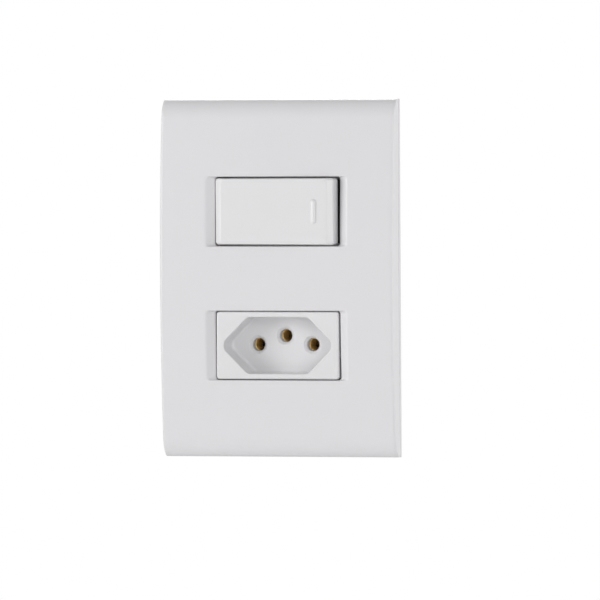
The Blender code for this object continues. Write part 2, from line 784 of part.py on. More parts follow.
def rocker_outline(inset, base_y):
    half = ROCKER_HALF - inset
    face_half = ROCKER_HALF - ROCKER_END_SLOPE - inset * 0.6
    face = ROCKER_FACE_Y + inset
    shoulder = ROCKER_FACE_Y + ROCKER_END_DROP + inset * 0.4
    soft = 0.0 if inset else ROCKER_EDGE
    corners = [
        (-half, base_y, 0.0),
        (half, base_y, 0.0),
        (half, shoulder, soft),
        (face_half, face, soft),
        (-face_half, face, soft),
        (-half, shoulder, soft),
    ]
    return rounded(corners, 3)


def rocker():
    z = SWITCH_Z
    half_z = FACE_HEIGHT / 2
    key = prism(rocker_outline(0.0, ROCKER_BASE_Y), z - half_z, z + half_z, "Z")
    inner_z = half_z - ROCKER_WALL
    hollow = prism(rocker_outline(ROCKER_WALL, ROCKER_BASE_Y + AHEAD), z - inner_z, z + inner_z, "Z")
    cut(key, hollow)
    root_y = ROCKER_FACE_Y + ROCKER_WALL - ROOT
    stem = rod((0, root_y, z), (0, STEM_END_Y, z), STEM_RADIUS)
    join(key, stem, *pivot_arm(-1, root_y), *pivot_arm(1, root_y), rocker_mark(), *rocker_ribs(root_y))
    bore = rod((0, ROCKER_FACE_Y + ROCKER_WALL, z), (0, STEM_END_Y + AHEAD, z), STEM_BORE)
    return finish(cut(key, bore), "rocker", WHITE_GLOSS)


def pivot_arm(side, root_y):
    """One arm inside the rocker, with the pin that turns in the housing's bearing."""
    z = SWITCH_Z
    far = BODY_HEIGHT / 2 - BODY_WALL - SLIDE_GAP
    near_face = far - PIVOT_ARM_THICK
    pin_end = BODY_HEIGHT / 2 - PIVOT_SET_BACK
    low, high = sorted((side * near_face, side * far))
    radius = PIVOT_ARM_RADIUS
    web = block((-radius, root_y, z + low), (radius, ROCKER_AXIS_Y, z + high))
    eye = rod((0, ROCKER_AXIS_Y, z + low), (0, ROCKER_AXIS_Y, z + high), radius)
    start, end = (0, ROCKER_AXIS_Y, z + side * near_face), (0, ROCKER_AXIS_Y, z + side * pin_end)
    return web, eye, rod(start, end, PIVOT_RADIUS)


def rocker_ribs(root_y):
    """Stiffening ribs under the key's face: one along it, and one across it on each side."""
    depths = (root_y, ROCKER_FACE_Y + ROCKER_WALL + ROCKER_RIB_DEEP)
    length = 2 * (ROCKER_HALF - ROCKER_END_SLOPE - ROCKER_WALL)
    height = FACE_HEIGHT - 2 * ROCKER_WALL + 2 * ROOT
    ribs = [centred_block(0.0, depths, SWITCH_Z, length, ROCKER_RIB_THICK)]
    for side in (-1, 1):
        ribs.append(centred_block(side * ROCKER_RIB_X, depths, SWITCH_Z, ROCKER_RIB_THICK, height))
    return ribs


def rocker_mark():
    """The raised bar near the key's right end."""
    half_length, half_width = ROCKER_MARK_LENGTH / 2, ROCKER_MARK_WIDTH / 2
    outline = rectangle(half_length, half_width, half_width * 0.998, (SWITCH_Z, ROCKER_MARK_X))
    return prism(outline, ROCKER_FACE_Y - ROCKER_MARK_TALL, ROCKER_FACE_Y + ROOT, "Y")


def plunger_tip_y():
    """The ball's lowest point, a seat gap above the trough when the rocker is level."""
    return ARM_EDGE_Y - ARM_THICK - SEAT_GAP


def rocker_plunger():
    tip = plunger_tip_y()
    ball = tip - PLUNGER_RADIUS
    steps = 5
    dome = [
        (PLUNGER_RADIUS * math.cos(angle), ball + PLUNGER_RADIUS * math.sin(angle))
        for angle in (math.pi / 2 * i / steps for i in range(steps + 1))
    ]
    dome[-1] = (0.0, tip)
    profile = [(0.0, PLUNGER_TOP_Y), (PLUNGER_RADIUS, PLUNGER_TOP_Y), *dome]
    pin = turned(profile, (0.0, SWITCH_Z), 20)
    return finish(pin, "rocker_plunger", WHITE_GLOSS)


def plunger_spring():
    """An open coil between the root of the stem's bore and the plunger's top."""
    start = ROCKER_FACE_Y + ROCKER_WALL + SEAT_GAP + SPRING_WIRE
    end = PLUNGER_TOP_Y - SEAT_GAP - SPRING_WIRE
    count = SPRING_TURNS * SPRING_STEPS_PER_TURN
    curve = bpy.data.curves.new("coil", "CURVE")
    curve.dimensions = "3D"
    curve.bevel_depth = SPRING_WIRE
    curve.bevel_resolution = 2
    curve.use_fill_caps = True
    spline = curve.splines.new("POLY")
    spline.points.add(count)
    for i, point in enumerate(spline.points):
        turn = 2 * math.pi * i / SPRING_STEPS_PER_TURN
        y = start + (end - start) * i / count
        point.co = (SPRING_RADIUS * math.cos(turn), y, SWITCH_Z + SPRING_RADIUS * math.sin(turn), 1)
    guide = bpy.data.objects.new("coil", curve)
    TOOLS.objects.link(guide)
    bpy.context.view_layer.update()
    coil = mesh_from(guide)
    bpy.data.objects.remove(guide)
    return finish(tool_object(welded(coil)), "plunger_spring", STEEL)


def contact_arm():
    back = [
        (-ARM_HALF_LENGTH, ARM_EDGE_Y - ARM_TROUGH_RISE),
        (-ARM_TROUGH_HALF, ARM_EDGE_Y - ARM_TROUGH_RISE),
        (0.0, ARM_EDGE_Y),
        (ARM_TROUGH_HALF, ARM_EDGE_Y - ARM_TROUGH_RISE),
        (ARM_HALF_LENGTH, ARM_EDGE_Y - ARM_TROUGH_RISE),
    ]
    outline = back + [(x, y - ARM_THICK) for x, y in reversed(back)]
    arm = prism(outline, SWITCH_Z - ARM_WIDTH / 2, SWITCH_Z + ARM_WIDTH / 2, "Z")
    return finish(cut(arm, rivet_hole(ARM_EDGE_Y - ARM_TROUGH_RISE)), "contact_arm", COPPER)


def rivet_hole(y):
    """A cutter for a rivet's shank, through whatever sheet lies within a short way of y."""
    start, end = (-RIVET_X, y - 2 * AHEAD, SWITCH_Z), (-RIVET_X, y + 2 * AHEAD, SWITCH_Z)
    return rod(start, end, RIVET_SHANK_RADIUS + SEAT_GAP, 16)


def rivet(x, sheet_low, sheet_high, contact_side):
    """A contact rivet through a strip. contact_side is +1 if its contact faces +Y."""
    if contact_side > 0:
        seat, back = sheet_high + SEAT_GAP, sheet_low - SEAT_GAP
    else:
        seat, back = sheet_low - SEAT_GAP, sheet_high + SEAT_GAP
    face = seat + contact_side * RIVET_HEAD_TALL
    end = back - contact_side * RIVET_PEEN_TALL
    profile = [
        (0.0, face),
        (RIVET_HEAD_RADIUS * 0.7, face),
        (RIVET_HEAD_RADIUS, face - contact_side * RIVET_HEAD_TALL * 0.4),
        (RIVET_HEAD_RADIUS, seat),
        (RIVET_SHANK_RADIUS, seat),
        (RIVET_SHANK_RADIUS, back),
        (RIVET_PEEN_RADIUS, back),
        (RIVET_PEEN_RADIUS * 0.8, end),
        (0.0, end),
    ]
    return turned(profile, (x, SWITCH_Z), 16)


def moving_contact():
    high = ARM_EDGE_Y - ARM_TROUGH_RISE
    return finish(rivet(-RIVET_X, high - ARM_THICK, high, 1), "moving_contact", SILVER)


def shank_hole(x, z):
    radius = TERMINAL_SCREW_RADIUS + SHANK_GAP
    return rod((x, TAIL_Y - 2 * AHEAD, z), (x, TAIL_Y + 2 * AHEAD, z), radius, 16)


def common_terminal():
    tail_end = SWITCH_TERMINAL_X + TAIL_HALF
    path = [(tail_end, TAIL_Y), (0.0, TAIL_Y), (0.0, ARM_EDGE_Y + SEAT_GAP)]
    low, high = SWITCH_Z - STRIP_WIDTH / 2, SWITCH_Z + STRIP_WIDTH / 2
    strip = folded_strip(path, low, high, "Z", STRIP_THICK)
    return finish(cut(strip, shank_hole(SWITCH_TERMINAL_X, SWITCH_Z)), "common_terminal", BRASS)


def load_terminal():
    tail_end = SWITCH_TERMINAL_X + TAIL_HALF
    knee = RIVET_X + RIVET_HEAD_RADIUS + KNEE_GAP
    shelf_end = RIVET_X - RIVET_HEAD_RADIUS
    shelf = FIXED_SHELF_Y + STRIP_THICK / 2
    path = [(-tail_end, TAIL_Y), (-knee, TAIL_Y), (-knee, shelf), (-shelf_end, shelf)]
    low, high = SWITCH_Z - STRIP_WIDTH / 2, SWITCH_Z + STRIP_WIDTH / 2
    strip = folded_strip(path, low, high, "Z", STRIP_THICK)
    cut(strip, shank_hole(-SWITCH_TERMINAL_X, SWITCH_Z), rivet_hole(FIXED_SHELF_Y))
    return finish(strip, "load_terminal", BRASS)


def fixed_contact():
    piece = rivet(-RIVET_X, FIXED_SHELF_Y, FIXED_SHELF_Y + STRIP_THICK, -1)
    return finish(piece, "fixed_contact", SILVER)


def clamp_and_screw(x, z, clamp_name, screw_name):
    clamp = centred_block(x, (CLAMP_Y, CLAMP_Y + CLAMP_THICK), z, CLAMP_SIZE, CLAMP_SIZE)
    radius = TERMINAL_SCREW_RADIUS + SHANK_GAP
    cut(clamp, rod((x, CLAMP_Y - AHEAD, z), (x, CLAMP_Y + CLAMP_THICK + AHEAD, z), radius, 16))
    finish(clamp, clamp_name, STEEL)
    screw = slotted_screw(
        (x, z),
        TERMINAL_HEAD_Y,
        TERMINAL_HEAD_TALL,
        TERMINAL_HEAD_RADIUS,
        TERMINAL_SCREW_RADIUS,
        TAIL_Y - TERMINAL_SCREW_REACH,
        1,
    )
    finish(screw, screw_name, STEEL)


def hexagon():
    """The socket's recess outline in (z, x), its two long flats level and its ends pointed."""
    half_x = RECESS_WIDTH / 2
    half_z = RECESS_HEIGHT / 2
    # The pointed ends are rounded, so the sharp corners lie further out than the finished width.
    sharp = half_x + RECESS_CORNER * (math.sqrt(2) - 1)
    flat = sharp - half_z
    corners = [
        (0.0, -sharp, RECESS_CORNER),
        (-half_z, -flat, RECESS_CORNER),
        (-half_z, flat, RECESS_CORNER),
        (0.0, sharp, RECESS_CORNER),
        (half_z, flat, RECESS_CORNER),
        (half_z, -flat, RECESS_CORNER),
    ]
    return [(SOCKET_Z + u, v) for u, v in rounded(corners, 5)]


def pin_places():
    """Each pin's x and its z above the module's middle."""
    return {
        "line": (-PIN_PITCH / 2, 0.0),
        "neutral": (PIN_PITCH / 2, 0.0),
        "earth": (0.0, EARTH_OFFSET),
    }


def socket_front():
    z = SOCKET_Z
    outline = rectangle(FACE_HEIGHT / 2, FACE_WIDTH / 2, SOCKET_FACE_CORNER, (z, 0.0))
    face = prism(outline, SOCKET_FACE_Y, EAR_BACK_Y - ROOT, "Y")

    def rim(a, b):
        return near(a.y, SOCKET_FACE_Y) and near(b.y, SOCKET_FACE_Y)

    bevel_edges(face, rim, FACE_EDGE, 3)
    guides = [
        rod((x, SOCKET_SPLIT_Y - ROOT, z + dz), (x, GUIDE_END_Y, z + dz), PIN_HOLE_RADIUS + GUIDE_WALL)
        for x, dz in pin_places().values()
    ]
    join(face, body_box(z, EAR_FRONT_Y - ROOT, SOCKET_SPLIT_Y), ears(z), *guides)
    recess = prism(hexagon(), SOCKET_FACE_Y - AHEAD, SOCKET_FLOOR_Y, "Y")
    cut(face, recess, *pin_holes(), *tongue_notches())
    return finish(face, "socket_front", WHITE_GLOSS)


def pin_holes():
    """A countersunk hole for each pin, from the recess's floor to the end of its guide."""
    slope = PIN_LEAD / PIN_LEAD_DEEP
    profile = [
        (0.0, SOCKET_FLOOR_Y - AHEAD),
        (PIN_LEAD_RADIUS + slope * AHEAD, SOCKET_FLOOR_Y - AHEAD),
        (PIN_HOLE_RADIUS, SOCKET_FLOOR_Y + PIN_LEAD_DEEP),
        (PIN_HOLE_RADIUS, GUIDE_END_Y + AHEAD),
        (0.0, GUIDE_END_Y + AHEAD),
    ]
    return [turned(profile, (x, SOCKET_Z + dz)) for x, dz in pin_places().values()]


def tongue_notches():
    """The notches in the body's sides that take the housing's tongues."""
    z = SOCKET_Z
    half_x = BODY_WIDTH / 2
    notch_z = TONGUE_HEIGHT / 2
    notch_y = EAR_BACK_Y + TONGUE_SET_BACK
    notches = []
    for side in (-1, 1):
        low, high = sorted((side * (half_x - TONGUE_THICK), side * (half_x + AHEAD)))
        notch_high = (high, SOCKET_SPLIT_Y + AHEAD, z + notch_z)
        notches.append(block((low, notch_y, z - notch_z), notch_high))
    return notches


def terminal_places():
    return {
        "line": (-SOCKET_TERMINAL_X, SOCKET_TERMINAL_Z),
        "neutral": (SOCKET_TERMINAL_X, SOCKET_TERMINAL_Z),
        "earth": (0.0, EARTH_TERMINAL_Z),
    }


def socket_housing():
    z = SOCKET_Z
    front = SOCKET_SPLIT_Y + SEAT_GAP
    housing = body_box(z, front)
    tongue_z = TONGUE_HEIGHT / 2 - SEAT_GAP
    tongue_front = EAR_BACK_Y + TONGUE_SET_BACK + SEAT_GAP
    tongues = []
    for side in (-1, 1):
        inner = side * (BODY_WIDTH / 2 - TONGUE_THICK + SEAT_GAP)
        low, high = sorted((inner, side * BODY_WIDTH / 2))
        tongue_high = (high, front + 2 * AHEAD, z + tongue_z)
        tongues.append(block((low, tongue_front, z - tongue_z), tongue_high))
    join(housing, *tongues, hook(-1, z), hook(1, z))
    windows = [terminal_window(x, z + dz) for x, dz in terminal_places().values()]
    cut(housing, *socket_chambers(front), *windows)
    return finish(housing, "socket_housing", WHITE_PLASTIC)


def socket_chambers(front):
    """Three chambers for the contacts and three behind them for the screws, with partitions between."""
    z = SOCKET_Z
    half_x = BODY_WIDTH / 2 - BODY_WALL
    half_z = BODY_HEIGHT / 2 - BODY_WALL
    inner, outer = CHAMBER_HALF - PARTITION / 2, CHAMBER_HALF + PARTITION / 2
    chambers = []
    for low, high in ((-half_x, -outer), (-inner, inner), (outer, half_x)):
        chambers.append(block((low, front - AHEAD, z - half_z), (high, REAR_WALL_Y, z + half_z)))
        rear_low = (low, REAR_WALL_Y + REAR_WALL, z - half_z)
        chambers.append(block(rear_low, (high, BODY_BACK_Y + AHEAD, z + half_z)))
    return chambers


def contact_reach(name):
    """The lowest and highest x of a socket contact's bracket, kept clear of the partitions."""
    pin_x = pin_places()[name][0]
    screw_x = terminal_places()[name][0]
    low = min(pin_x - SLEEVE_RADIUS, screw_x - TAIL_HALF)
    high = max(pin_x + SLEEVE_RADIUS, screw_x + TAIL_HALF)
    inner = CHAMBER_HALF - PARTITION / 2 - SEAT_GAP
    outer = CHAMBER_HALF + PARTITION / 2 + SEAT_GAP
    if name == "earth":
        return -inner, inner
    if name == "line":
        return low, min(high, -outer)
    return max(low, outer), high


def socket_contact(name):
    """A slit sleeve on a folded bracket, whose tail lies against the housing's rear wall."""
    pin_x, pin_dz = pin_places()[name]
    screw_x, screw_dz = terminal_places()[name]
    up = 1 if name == "earth" else -1
    sleeve_front = GUIDE_END_Y + SEAT_GAP
    seat_y = sleeve_front + SLEEVE_LENGTH + STRIP_THICK / 2
    leg_z = SOCKET_Z + screw_dz + up * (TAIL_HALF + STRIP_THICK / 2)
    free_z = SOCKET_Z + screw_dz - up * TAIL_HALF
    path = [(seat_y, free_z), (seat_y, leg_z), (TAIL_Y, leg_z), (TAIL_Y, free_z)]
    bracket = folded_strip(path, *contact_reach(name), "X", STRIP_THICK)
    z = SOCKET_Z + pin_dz
    sleeve = rod((pin_x, sleeve_front, z), (pin_x, seat_y, z), SLEEVE_RADIUS, 20)
    join(bracket, sleeve)
    ahead_y = sleeve_front - AHEAD
    bore = rod((pin_x, ahead_y, z), (pin_x, seat_y + STRIP_THICK, z), SLEEVE_BORE, 20)
    slit_depths = (ahead_y, sleeve_front + SLEEVE_SLIT_LENGTH)
    slit = centred_block(pin_x, slit_depths, z, SLEEVE_SLIT, 3 * SLEEVE_RADIUS)
    cut(bracket, bore, slit, shank_hole(screw_x, SOCKET_Z + screw_dz))
    return finish(bracket, f"contact_{name}", BRASS)


def hang_on_axis(name, pieces, place, angle):
    """Hangs pieces drawn level from an empty on their joint's axis, and tilts it to the rest pose."""
    axis = bpy.data.objects.new(name, None)
    PARTS.objects.link(axis)
    axis.location = place
    bpy.context.view_layer.update()
    for piece in pieces:
        piece.parent = axis
        piece.matrix_parent_inverse = Matrix.Translation(place).inverted()
    axis.rotation_euler = (0, 0, angle)


def build_switch():
    switch_housing()
    key, pin, spring = rocker(), rocker_plunger(), plunger_spring()
    arm, contact = contact_arm(), moving_contact()
    common_terminal()
    load_terminal()
    fixed_contact()
    for name, side in (("common", 1), ("load", -1)):
        x = side * SWITCH_TERMINAL_X
        clamp_and_screw(x, SWITCH_Z, f"switch_clamp_{name}", f"switch_screw_{name}")
    hang_on_axis("rocker_axis", (key, pin, spring), (0, ROCKER_AXIS_Y, SWITCH_Z), REST_TILT)
    hang_on_axis("contact_arm_axis", (arm, contact), (0, ARM_EDGE_Y, SWITCH_Z), REST_ARM)


def build_socket():
    socket_front()
    socket_housing()
    for name, (x, dz) in terminal_places().items():
        socket_contact(name)
        clamp_and_screw(x, SOCKET_Z + dz, f"socket_clamp_{name}", f"socket_screw_{name}")


clear_scene()
PARTS = collection("switch_and_socket")
TOOLS = collection("cutters", hidden=True)
cover_plate()
support_frame()
mounting_screws()
build_switch()
build_socket()
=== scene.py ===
"""Looks for the wall switch and socket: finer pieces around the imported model, materials, lamps, camera."""

import math

import bmesh
import bpy
from mathutils import Matrix, Vector


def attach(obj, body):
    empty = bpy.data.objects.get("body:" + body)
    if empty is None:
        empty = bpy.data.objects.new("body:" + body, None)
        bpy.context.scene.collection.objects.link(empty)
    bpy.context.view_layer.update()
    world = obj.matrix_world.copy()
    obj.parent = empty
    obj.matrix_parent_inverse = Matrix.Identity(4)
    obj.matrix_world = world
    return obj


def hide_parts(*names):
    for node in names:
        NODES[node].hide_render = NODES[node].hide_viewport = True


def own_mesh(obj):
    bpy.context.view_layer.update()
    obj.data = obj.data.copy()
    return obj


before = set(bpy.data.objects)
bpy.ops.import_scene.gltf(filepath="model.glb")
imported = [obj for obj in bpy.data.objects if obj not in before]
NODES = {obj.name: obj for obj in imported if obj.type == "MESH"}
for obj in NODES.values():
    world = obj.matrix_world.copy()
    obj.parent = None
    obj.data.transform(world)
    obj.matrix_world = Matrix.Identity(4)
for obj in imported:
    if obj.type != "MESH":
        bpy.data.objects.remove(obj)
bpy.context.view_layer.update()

# Clearances, and how far a cutter runs past a face, a joined shape is rooted or a flush face stays behind
GAP = 0.0003
SHANK_GAP = 0.00035
AHEAD = 0.001
ROOT, DEEP_ROOT = 0.0003, 0.0005
BEHIND, TONGUE_BEHIND = 0.00003, 0.00002

# Cover plate
PLATE_WIDTH, PLATE_HEIGHT, PLATE_DEPTH = 0.0815, 0.1202, 0.0102
PLATE_BOW_RADIUS, PLATE_END_RADIUS, PLATE_SIDE_RADIUS = 0.520, 0.0062, 0.0011
BOW_BAND, BOW_BANDS, ACROSS_BAND, ACROSS_BANDS = 0.0025, 22, 0.0045, 8
PLATE_WALL = 0.0018
PLATE_INNER = -PLATE_DEPTH + PLATE_WALL
DISH_DEPTH, DISH_REACH = 0.0021, 0.0029
COLLAR_WALL, COLLAR_DEPTH = 0.0014, 0.0018
TAB_X, TAB_Z, TAB_WIDTH, TAB_THICK = 0.024, 0.050, 0.0070, 0.0013
TAB_NOSE, TAB_NOSE_TALL, TAB_SET_BACK = 0.0009, 0.0008, 0.0004
GROOVE_Y, GROOVE_TALL, GROOVE_DEEP, GROOVE_REACH = -0.0026, 0.0005, 0.0004, 0.061
RIB_THICK, RIB_DEEP, RIB_SIDE, RIB_END = 0.0010, 0.0024, 0.0050, 0.0040

# Modules and their bodies
PITCH = 0.0225
FACE_WIDTH, FACE_HEIGHT, FACE_SPARE = 0.0421, 0.0223, 0.00024
FACE_CORNER, FACE_EDGE = 0.0010, 0.0006
WINDOW_X, WINDOW_Z, WINDOW_CORNER = FACE_WIDTH / 2 + 0.00072, FACE_HEIGHT / 2 + 0.00055, 0.0011
WINDOW_FLARE, WINDOW_CREASE, WINDOW_LIP, WINDOW_REACH = 0.0003, 0.0016, 0.0012, 0.012
COLLAR_X, COLLAR_Z = WINDOW_X + DISH_REACH + COLLAR_WALL, WINDOW_Z + COLLAR_WALL
BODY_X, BODY_Z, BODY_WALL, BODY_EDGE = 0.0208, 0.0103, 0.0012, 0.0006
BODY_BACK, REAR_Y, REAR_WALL = 0.0215, 0.0176, 0.0014
HOOK_REACH, HOOK_HEIGHT, HOOK_DEEP, HOOK_LAND = 0.0009, 0.0052, 0.0015, 0.0005

# Support frame and mounting screws
FRAME_WIDTH, FRAME_HEIGHT, FRAME_THICK, FRAME_CORNER = 0.068, 0.106, 0.0024, 0.004
FRAME_RIM, FRAME_RIM_TALL = 0.0012, 0.0016
FRAME_RIB_TALL, FRAME_RIB_INSET, FRAME_RIB_SIDE, FRAME_RIB_THICK = 0.0014, 0.0090, 0.0055, 0.0010
BAY_X, BAY_Z = BODY_X + 0.0009, BODY_Z + GAP
EAR_BACK, EAR_FRONT = -FRAME_THICK - GAP, -FRAME_THICK - GAP - 0.0012
EAR_X, EAR_Z = BAY_X + 0.0014, BODY_Z + 0.0004
SCREW_PITCH, SCREW_TRAVEL = 0.0835, 0.0050
SCREW_RADIUS, SCREW_HEAD_RADIUS, SCREW_HEAD_TALL, SCREW_LENGTH = 0.00175, 0.0035, 0.0020, 0.0250
DRIVER_SLOT, THREAD_START, TIP_BEVEL = 0.0009, 0.0006, 0.00012

# Rocker, plunger, spring and contact arm, drawn level and then tilted
ROCKER_TILT, ARM_TILT = math.radians(-3.5), math.radians(6.0)
ROCKER_HALF, ROCKER_FACE_HALF = 0.0212, 0.01895
ROCKER_FACE, ROCKER_SHOULDER, ROCKER_WALL = -0.0102, -0.0072, 0.0013
ROCKER_BASE = EAR_FRONT - GAP - ROCKER_HALF * math.sin(-ROCKER_TILT)
ROCKER_RIB_X, ROCKER_RIB_THICK, ROCKER_RIB_DEEP = 0.0105, 0.0009, 0.0014
ROCKER_SOFT, ROCKER_CORNER = 0.0005, 0.0010
ROCKER_KNEE_X, ROCKER_KNEE = 0.02102, -0.0092
SHOULDER_ROUND, KNEE_ROUND, FACE_ROUND = 0.0024, 0.0009, 0.0012
PIVOT_RADIUS, PIVOT_ARM_RADIUS = 0.0016, 0.0034
PIVOT_ARM_NEAR, PIVOT_ARM_FAR, PIVOT_END = 0.0074, 0.0087, BODY_Z - 0.0001
STEM_RADIUS, STEM_BORE, STEM_END = 0.0030, 0.00195, 0.0040
MARK_X, MARK_WIDTH, MARK_LENGTH = 0.0141, 0.00215, 0.0084
MARK_BACK = [  # how far each level is moved inwards, its height, and how far it leans to the right
    (0.0, -0.0004, 0.0),
    (0.0, 0.00006, 0.0),
    (0.00006, 0.00014, 0.00001),
    (0.00020, 0.00025, 0.00005),
    (0.00040, 0.00038, 0.00010),
    (0.00058, 0.00047, 0.00014),
    (0.00072, 0.00052, 0.00016),
    (0.00090, 0.00055, 0.00017),
]
PLUNGER_RADIUS, PLUNGER_TOP = 0.00155, -0.0030
SPRING_WIRE, SPRING_RADIUS, SPRING_TURNS = 0.000175, 0.0013, 6
ARM_EDGE, ARM_THICK, ARM_WIDTH = 0.0098, 0.0008, 0.0050
ARM_HALF, ARM_TROUGH_HALF, ARM_TROUGH_RISE = 0.0080, 0.0040, 0.00056
RIVET_X, RIVET_RADIUS, RIVET_TALL = 0.0062, 0.0015, 0.0008
RIVET_SHANK, RIVET_PEEN, RIVET_PEEN_TALL = 0.0007, 0.0012, 0.0004
ARM_STOP_X, ARM_STOP_Y = (0.0064, 0.0076), (0.0104, 0.0116)

# Terminals
STRIP, STRIP_WIDTH = 0.0009, 0.0060
SWITCH_TERMINAL_X, KNEE_X, SHELF_END, SHELF_Y = 0.0125, 0.0095, 0.0047, 0.012545
TERMINAL_WINDOW, CLAMP_SIZE, CLAMP_THICK = 0.0074, 0.0066, 0.0011
CLAMP_GROOVES, CLAMP_GROOVE_HALF, CLAMP_GROOVE_DEEP = (-0.0026, -0.0022, 0.0022, 0.0026), 0.00028, 0.00014
TAIL_RIB_START, TAIL_RIB_THICK, BARRIER_THICK = 0.0140, 0.0010, 0.0011
TAIL_HALF = TERMINAL_WINDOW / 2 + GAP
TAIL_Y = REAR_Y - GAP - STRIP / 2
CLAMP_Y = TAIL_Y + STRIP / 2 + GAP
HEAD_Y = CLAMP_Y + CLAMP_THICK + GAP
TERMINAL_RADIUS, TERMINAL_HEAD_RADIUS, TERMINAL_HEAD_TALL, TERMINAL_REACH = 0.0015, 0.0027, 0.0018, 0.0030

# Socket
SOCKET_FACE, RECESS_DEEP, FLOOR_THICK = -0.0085, 0.0096, 0.0015
RECESS_WIDTH, RECESS_HEIGHT, RECESS_CORNER = 0.0375, 0.0190, 0.0030
SOCKET_FLOOR = SOCKET_FACE + RECESS_DEEP
SOCKET_SPLIT = SOCKET_FLOOR + FLOOR_THICK
HOLE_RADIUS, HOLE_LEAD, HOLE_LEAD_DEEP = 0.0022, 0.00085, 0.0010
GUIDE_WALL, GUIDE_END = 0.0010, SOCKET_SPLIT + 0.0030
SLEEVE_BORE, SLEEVE_WALL, SLEEVE_LENGTH = HOLE_RADIUS - 0.00015, 0.00075, 0.0065
SLEEVE_SLIT, SLEEVE_SLIT_LENGTH = 0.0007, 0.0045
PIN_PLACES = {"line": (-0.0095, 0.0), "neutral": (0.0095, 0.0), "earth": (0.0, 0.0030)}
SCREW_PLACES = {"line": (-0.0112, -0.0015), "neutral": (0.0112, -0.0015), "earth": (0.0, 0.0030)}
PARTITION_IN, PARTITION_OUT = 0.00425, 0.00525
TONGUE_Z, TONGUE_THICK, TONGUE_SET_BACK = 0.0030, 0.0012, 0.0012

# The plane (u, v) that an outline is drawn in, and the direction w that it is pushed along
PLANES = {
    "X": (Vector((0, 1, 0)), Vector((0, 0, 1)), Vector((1, 0, 0))),
    "Y": (Vector((0, 0, 1)), Vector((1, 0, 0)), Vector((0, 1, 0))),
    "Z": (Vector((1, 0, 0)), Vector((0, 1, 0)), Vector((0, 0, 1))),
}

# Outlines


def rounded(corners, steps=6):
    """An outline of (u, v, radius) corners, each rounded by an arc of that radius."""
    outline = []
    for i, (u, v, radius) in enumerate(corners):
        here = Vector((u, v))
        before = Vector(corners[i - 1][:2]) - here
        after = Vector(corners[(i + 1) % len(corners)][:2]) - here
        if radius <= 0:
            outline.append((u, v))
            continue
        half = before.angle(after) / 2
        reach = radius / math.tan(half)
        start = here + before.normalized() * reach
        end = here + after.normalized() * reach
        centre = here + (before.normalized() + after.normalized()).normalized() * radius / math.sin(half)
        first, last = start - centre, end - centre
        sweep = first.angle_signed(last)
        for step in range(steps + 1):
            arm = first.copy()
            arm.rotate(Matrix.Rotation(-sweep * step / steps, 2))
            outline.append(tuple(centre + arm))
    return outline


def rectangle(half_u, half_v, radius, centre=(0.0, 0.0), steps=6):
    signs = ((-1, -1), (1, -1), (1, 1), (-1, 1))
    return rounded([(centre[0] + a * half_u, centre[1] + b * half_v, radius) for a, b in signs], steps)


def inset(outline, distance):
    """The outline moved inwards by a distance, each point along its own corner's bisector."""
    if not distance:
        return outline
    area = sum(a[0] * b[1] - b[0] * a[1] for a, b in zip(outline, outline[1:] + outline[:1]))
    side = 1 if area > 0 else -1
    moved = []
    for i, point in enumerate(outline):
        here = Vector(point)
        back = (here - Vector(outline[i - 1])).normalized()
        ahead = (Vector(outline[(i + 1) % len(outline)]) - here).normalized()
        first = Vector((-back.y, back.x)) * side
        second = Vector((-ahead.y, ahead.x)) * side
        moved.append(tuple(here + (first + second) / (1 + first.dot(second)) * distance))
    return moved


def place(outline, w, axis):
    u_dir, v_dir, w_dir = PLANES[axis]
    return [u_dir * u + v_dir * v + w_dir * w for u, v in outline]


def arc(steps, radius):
    """Angles of a quarter turn, or only its end where there is no rounding."""
    if not radius:
        return [0.0]
    return [math.pi / 2 * i / steps for i in range(steps + 1)]


# Levels of a cutter or of a block: each is (w, how far the outline is moved inwards)


def rim(face, radius, way, steps):
    """Rings of a rounded rim.

    It crosses the face steeply, because a boolean fails on a ring that only touches it.
    """
    last = math.radians(72)
    rings = []
    for i in range(steps + 1 if radius else 1):
        a = last * i / steps
        rings.append((face - way * radius * (1 - math.sin(a)), -radius * (1 - math.cos(a))))
    return rings + [(face + way * 0.05 * radius, -radius), (face + way * AHEAD, -radius)]


def opening(face, radius, steps=4):
    """A cutter's levels where it enters a face on its way to +w, with a rounded rim."""
    return list(reversed(rim(face, radius, -1, steps)))


def leaving(face, radius, steps=4):
    """A cutter's levels where it leaves a face on its way to +w, with a rounded rim."""
    return rim(face, radius, 1, steps)


def closing(end, radius, steps=4):
    """The levels where a shape ends on its way to +w, with a rounded edge."""
    return [(end - radius * (1 - math.sin(a)), radius * (1 - math.cos(a))) for a in arc(steps, radius)]


def starting(start, radius, steps=4):
    """The levels where a shape starts on its way to +w, with a rounded edge."""
    turn = [(start + radius * (1 - math.sin(a)), radius * (1 - math.cos(a))) for a in arc(steps, radius)]
    return list(reversed(turn))


# Mesh helpers


def added(thing):
    bpy.context.scene.collection.objects.link(thing)
    return thing


def piece_of(bm):
    bmesh.ops.recalc_face_normals(bm, faces=bm.faces[:])
    mesh = bpy.data.meshes.new("shape")
    bm.to_mesh(mesh)
    bm.free()
    made = added(bpy.data.objects.new("shape", mesh))
    made.hide_render = True
    return made


def loft(rings):
    """A closed skin through rings of points that all have the same count."""
    bm = bmesh.new()
    rings = [[bm.verts.new(p) for p in ring] for ring in rings]
    count = len(rings[0])
    for low, high in zip(rings, rings[1:]):
        for i in range(count):
            j = (i + 1) % count
            bm.faces.new((low[i], low[j], high[j], high[i]))
    bm.faces.new(rings[0])
    bm.faces.new(rings[-1])
    return piece_of(bm)


def stepped(outline, levels, axis):
    return loft([place(inset(outline, move), w, axis) for w, move in levels])


